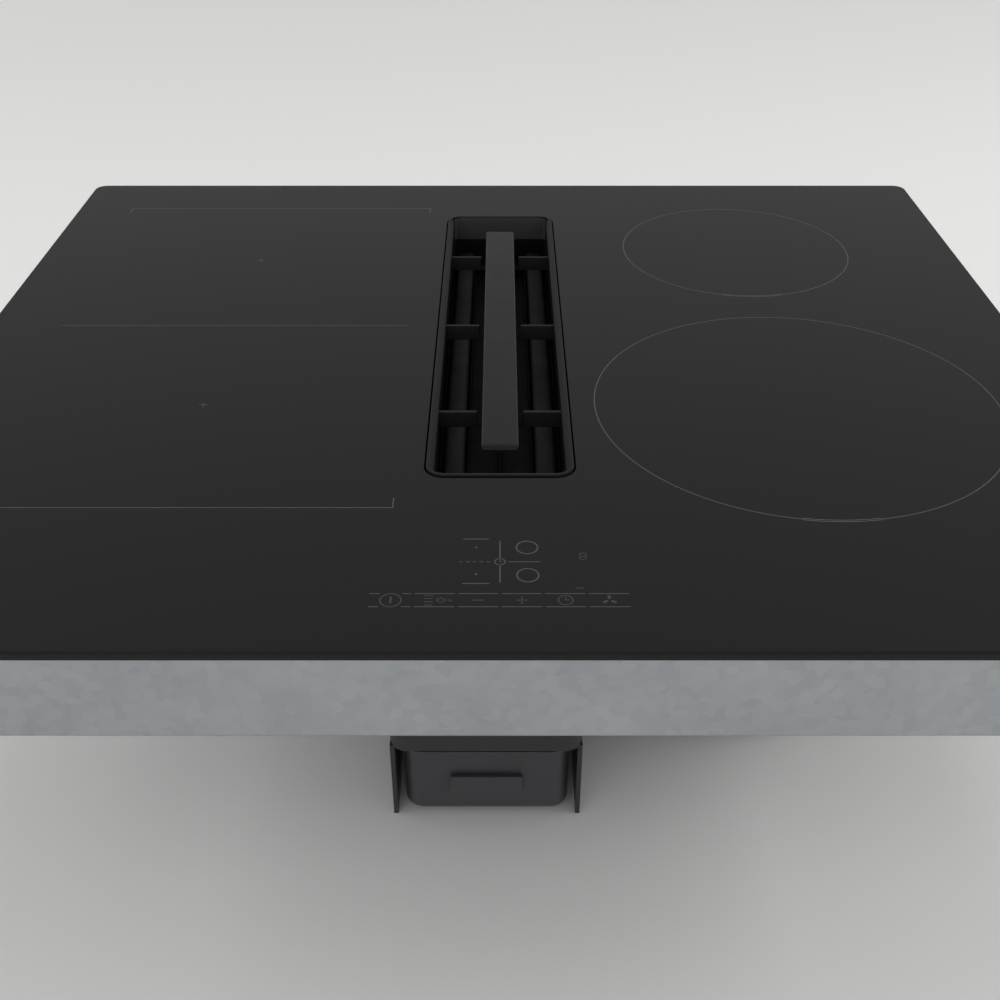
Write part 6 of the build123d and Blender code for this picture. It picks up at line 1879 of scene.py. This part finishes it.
# ---------------------------------------------------------------- mains terminal, box and tanks
@dataclass
class MainsTerminal(SubAssembly):
    """The box over the mains terminals with its gland, and the blower's control box beside it."""

    box: Plan = Plan(80.0, 65.0, 4.0, -210.0, 202.5, 6)
    floor: float = -85.0
    top: float = -58.0
    wall: float = 2.0
    gland_z: float = -71.5
    control: Plan = Plan(110.0, 160.0, 5.0, -125.0, 20.0, 6)
    control_floor: float = -96.0

    def gland(self) -> Shape:
        """The gland's bored sleeve and its hexagon nut, lying along Y from the box's back wall.

        Round the nut the radius at angle a is its half width over the cosine of a's distance
        from the middle of its flat.

        Returns:
            The sleeve and the nut.
        """
        profile = soften([(9, -6.8), (9, 9), (6, 9), (6, -6.8)], [0.4, 1.2, 0.6, 0.4], closed=True)
        sleeve = lathe(profile, 0, 0, Ends.JOINED, 48)
        flat = 10.4 / np.cos(np.mod(full_turn(60), np.pi / 3) - np.pi / 6)
        bore = np.full(60, 8.9)
        hexagon = [(flat * 0.96, 0.0), (flat, 0.6), (flat, 4.4), (flat * 0.94, 5.0)]
        nut = turned_rows([(bore, 0.0)] + hexagon + [(bore, 5.0)], Ends.JOINED)
        back = self.box.y + self.box.depth / 2
        return join([sleeve, nut]).turned(-90, 0).moved(self.box.x, back, self.gland_z)

    def build(self) -> None:
        """Make the terminal box, the gland, and the control box."""
        back = self.box.y + self.box.depth / 2
        bore = disc(9.1, -4.0, 4.0, 0, 0, 0.0).turned(-90, 0).moved(self.box.x, back, self.gland_z)
        cover = tub(self.box, self.floor, self.top, self.wall, 1.5)
        self.add("terminal_box_moulding", cover, ["terminal_cover"], holes=[bore])
        self.add("gland_sleeve_and_nut", self.gland(), ["cable_gland"])
        case = tub(self.control, self.control_floor, self.top, self.wall, 2.0)
        self.add("control_box_moulding", case, ["blower_control_box"])

    def dress(self) -> None:
        """Give the boxes, the block and the gland their finishes."""
        self.coat(HOUSING, "terminal_box_moulding", "control_box_moulding")
        self.coat(NYLON, "gland_sleeve_and_nut")
        self.coat(PARTS, "terminal_block")


@dataclass
class Tanks(SubAssembly):
    """The drip tray in the sump and the overflow tank that slides in under it."""

    tray: Plan = Plan(60.0, 300.0, 12.0, y=INLET_Y, steps=12)
    tray_bottom: float = -162.2
    tray_top: float = -132.2
    tray_wall: float = 1.8
    tank: Plan = Plan(91.2, 343.1, 10.0, -7.5, 29.75, 10)
    tank_bottom: float = -214.0
    tank_top: float = -169.2
    tank_wall: float = 2.0
    flange_x: float = 47.5

    def build(self) -> None:
        """Make the tray with its rolled lip, and the tank with its flanges and grip."""
        low, high, sheet = self.tray_bottom, self.tray_top, self.tray_wall
        outside = [(-26, low), (0, low), (0, high - sheet), (1.6, high - sheet), (1.6, high)]
        corners = outside + [(-sheet, high), (-sheet, low + sheet), (-26, low + sheet)]
        profile = soften(corners, [0, 3.6, 0.6, 0.7, 0.7, 0.7, 2.5, 0])[1:-1]
        tray = grid(self.tray.loops(profile), Ends.CAPPED)
        self.add("drip_tray_moulding", tray, ["drip_tray"], "drip_tray")
        tank, top = self.tank, self.tank_top
        body = tub(tank, self.tank_bottom, top, self.tank_wall, 4.0)
        front, middle = tank.y - tank.depth / 2, (top + self.tank_bottom) / 2
        grip = block(Plan(40.0, 12.0, 1.5, tank.x, middle, 4), front - 3.0, front + 0.5, 0.2, 1.0)
        pieces = join([body, grip.swapped((0, 2, 1))])
        self.add("overflow_tank_moulding", pieces, ["overflow_container"], "overflow_container")
        places = [tank.x + side.value * self.flange_x for side in Side]
        sides = [block(Plan(4.6, 323.1, 0.4, x, tank.y, 3), top - 1.5, top) for x in places]
        self.add("overflow_tank_flanges", join(sides), body="overflow_container")

    def dress(self) -> None:
        """Give the tray and the tank their finish."""
        self.coat(TRAY, "drip_tray_moulding", "overflow_tank_moulding", "overflow_tank_flanges")


# ---------------------------------------------------------------- electronics
@dataclass
class Electronics(SubAssembly):
    """The boards, heatsinks and cooling fans on the pan's floor, and the touch panel's tray."""

    fan_x: float = 208.9
    fan_y: float = -205.5
    floor: float = -57.0
    height: float = 24.0
    wall: float = 1.5
    stator_top: float = -45.5
    rotor: Wheel = Wheel(
        tip=26.0, root=19.5, count=22, height=14.0, sheet=1.0, dome=12.0, dome_height=11.0,
        rim=1.6, hub=3.0, hub_depth=0.4, bore=1.4, thickness=1.0,
    )

    def build(self) -> None:
        """Make the cooling fans: their scrolls, with an intake on top, and their wheels."""
        top = self.floor + self.height
        for side in Side:
            name, place = side.name.lower(), np.array([side.value * self.fan_x, self.fan_y])
            outside = scroll_line(30.0, 2.0, 8.0, 36.0, self.wall) + place
            inside = scroll_line(30.0, 2.0, 8.0, 38.0, 0.0) + place
            hollow = prism(inside, self.floor + self.wall, top - self.wall)
            intake = disc(20.0, top - 2 * self.wall, top + 2, *place, 0.0, 64)
            shell, node = prism(outside, self.floor, top), "cooling_fan_housing_" + name
            self.add("cooling_fan_scroll_" + name, shell, [node], bevel=0.4, holes=[hollow, intake])
            stator = pipe(9.0, 1.6, self.floor + 1.0, self.stator_top, *place, 36)
            self.add("cooling_fan_stator_" + name, stator)
            axle = disc(1.5, 0.0, 11.0, 0, 0, 0.2, 16)
            wheel = join([self.rotor.shape(), axle]).moved(*place, self.floor + 2.5)
            rotor = "cooling_rotor_" + name
            self.add("cooling_fan_wheel_" + name, wheel, [rotor], rotor)

    def dress(self) -> None:
        """Give the fans, boards, heatsinks and the panel's tray their finishes."""
        for name in (side.name.lower() for side in Side):
            self.coat(WHEEL, "cooling_fan_wheel_" + name)
            self.coat(HOUSING, "cooling_fan_scroll_" + name, "cooling_fan_stator_" + name)
            self.coat(BOARD, "power_board_" + name)
            self.coat(ALUMINIUM, "heatsink_" + name)
            self.coat(PARTS, "board_components_" + name)
        self.coat(BOARD, "filter_board", "control_board")
        self.coat(NYLON, "board_standoffs")
        self.coat(HOUSING, "control_housing")
        self.coat(PARTS, "display_modules")


# ---------------------------------------------------------------- studio
WHITE = (1.0, 1.0, 1.0, 1.0)


@dataclass
class Studio:
    """A pale floor under the cooktop, a soft sky, four soft lamps and the photograph's camera.

    The glass mirrors the sky between 20 and 41 degrees above the horizon, so the sky is an
    even grey there; it is pale only near the horizon, and the lamps stand higher or beside it.
    """

    floor_z: float = -0.218
    floor_radius: float = 9.0
    floor_colour: str = "#ececea"
    fade_start: float = 1.0
    fade_end: float = 4.5
    sky: float = 0.26
    horizon: float = 0.86
    ambient: float = 0.42
    ground: float = 0.6
    camera_place: tuple[float, float, float] = (0.0, -0.6272, 0.3222)
    camera_tilt: float = 56.12
    lens: float = 44.71

    def build(self) -> None:
        """Make the floor, the sky, the lamps and the camera."""
        self.make_floor()
        self.make_sky()
        self.lamp("key_lamp", (-0.8, -1.7, 2.0), 1.6, 8.0)
        self.lamp("left_lamp", (-2.3, 0.1, 1.3), 1.6, 19.0)
        self.lamp("right_lamp", (2.3, 0.1, 1.3), 1.6, 28.0)
        self.lamp("back_lamp", (0.2, 1.2, 2.7), 1.2, 14.0)
        camera = bpy.data.objects.new("photo_camera", bpy.data.cameras.new("photo_camera"))
        camera.location = self.camera_place
        camera.rotation_euler = (math.radians(self.camera_tilt), 0.0, 0.0)
        camera.data.lens, camera.data.sensor_width = self.lens, 36.0
        scene = bpy.context.scene
        scene.collection.objects.link(camera)
        scene.camera = camera
        scene.view_settings.view_transform = "Standard"

    def make_floor(self) -> None:
        """Make the floor, a wide disc with a plain pale finish that is clear from below.

        Its upper side is plain paint, which far from the cooktop turns into the glow of the
        sky's horizon for the eye and for mirrors. It lets the eye through from below, and the
        sky's even light through to the cooktop's underside, so that both can be looked at.
        """
        rim = arc(0, 0, self.floor_radius, 0, 360, 97)[:-1]
        mesh = bpy.data.meshes.new("studio_floor")
        points = np.concatenate([rim, np.full((len(rim), 1), self.floor_z)], axis=1)
        mesh.from_pydata(points.tolist(), [], [list(range(len(rim)))])
        floor = bpy.data.objects.new("studio_floor", mesh)
        bpy.context.scene.collection.objects.link(floor)
        paint = bpy.data.materials.new("pale floor paint")
        paint.use_nodes = True
        tree = paint.node_tree
        tree.nodes.clear()
        place = add_node(tree, "TexCoord")["Object"]
        far = add_node(tree, "VectorMath", {0: place}, operation="LENGTH")["Value"]
        fade = {0: far, 1: self.fade_start, 2: self.fade_end}
        blend = add_node(tree, "MapRange", fade, interpolation_type="SMOOTHSTEP")
        rays = add_node(tree, "LightPath")
        eye = {0: rays["Is Camera Ray"], 1: rays["Is Glossy Ray"]}
        seen = add_node(tree, "Math", eye, operation="MAXIMUM")
        share = add_node(tree, "Math", {0: blend[0], 1: seen[0]}, operation="MULTIPLY")
        matt = add_node(tree, "BsdfDiffuse", {"Color": linear(self.floor_colour)})
        glow = add_node(tree, "Emission", {"Color": WHITE, "Strength": self.horizon})
        top = add_node(tree, "MixShader", {0: share[0], 1: matt[0], 2: glow[0]})
        light = {0: rays["Is Diffuse Ray"], 1: rays["Is Shadow Ray"]}
        soft = add_node(tree, "Math", light, operation="MAXIMUM")
        back = add_node(tree, "NewGeometry")["Backfacing"]
        through = add_node(tree, "Math", {0: back, 1: soft[0]}, operation="MAXIMUM")
        clear = add_node(tree, "BsdfTransparent")
        both = add_node(tree, "MixShader", {0: through[0], 1: top[0], 2: clear[0]})
        add_node(tree, "OutputMaterial", {"Surface": both[0]})
        mesh.materials.append(paint)

    def make_sky(self) -> None:
        """Make the sky: an even light for surfaces, and a soft gradient for eye and mirror rays."""
        world = bpy.data.worlds.new("studio_sky")
        bpy.context.scene.world = world
        world.use_nodes = True
        tree = world.node_tree
        tree.nodes.clear()
        up = add_node(tree, "SeparateXYZ", {0: add_node(tree, "TexCoord")["Generated"]})["Z"]
        fall = {0: up, 1: 0.02, 2: 0.3, 3: self.horizon, 4: self.sky}
        gradient = add_node(tree, "MapRange", fall, interpolation_type="SMOOTHSTEP")
        level = {0: up, 1: -0.1, 2: 0.1, 3: self.ground, 4: self.ambient}
        light = add_node(tree, "MapRange", level, interpolation_type="SMOOTHSTEP")
        shown = add_node(tree, "Background", {"Color": WHITE, "Strength": gradient[0]})
        even = add_node(tree, "Background", {"Color": WHITE, "Strength": light[0]})
        rays = add_node(tree, "LightPath")
        eye = {0: rays["Is Camera Ray"], 1: rays["Is Glossy Ray"]}
        seen = add_node(tree, "Math", eye, operation="MAXIMUM")
        clear = add_node(tree, "Math", {0: seen[0], 1: rays["Is Transmission Ray"]}, operation="MAXIMUM")
        both = add_node(tree, "MixShader", {0: clear[0], 1: even[0], 2: shown[0]})
        add_node(tree, "OutputWorld", {"Surface": both[0]})

    def lamp(self, name: str, place: tuple[float, float, float], size: float, power: float) -> None:
        """Add a soft square lamp that faces the cooktop and isn't mirrored in its glass.

        Args:
            name: name of the lamp.
            place: where it stands, in metres.
            size: its side, in metres.
            power: its power, in watts.
        """
        light = bpy.data.lights.new(name, "AREA")
        light.size, light.energy = size, power
        lamp = bpy.data.objects.new(name, light)
        lamp.location = place
        lamp.rotation_euler = lamp.location.to_track_quat("Z", "Y").to_euler()
        lamp.visible_glossy = False
        bpy.context.scene.collection.objects.link(lamp)


def main() -> None:
    """Build and dress the cooktop, set up the studio and log how many pieces each group makes."""
    logging.basicConfig(level=logging.INFO, format="%(name)s: %(message)s", stream=sys.stdout)
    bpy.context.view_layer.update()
    Studio().build()
    groups = [
        GlassPlate(),
        ZoneMarks(),
        PanelMarks(),
        InletGrille(),
        GreaseFilter(),
        InletShaft(),
        CookingZones(),
        BasePan(),
        ExtractorHousing(),
        Blower(),
        OutletDuct(),
        MainsTerminal(),
        Tanks(),
        Electronics(),
    ]
    for group in groups:
        group.build()
        group.dress()
        LOG.info("%s: %d new pieces", type(group).__name__, len(group.made))


if __name__ == "__main__":
    main()
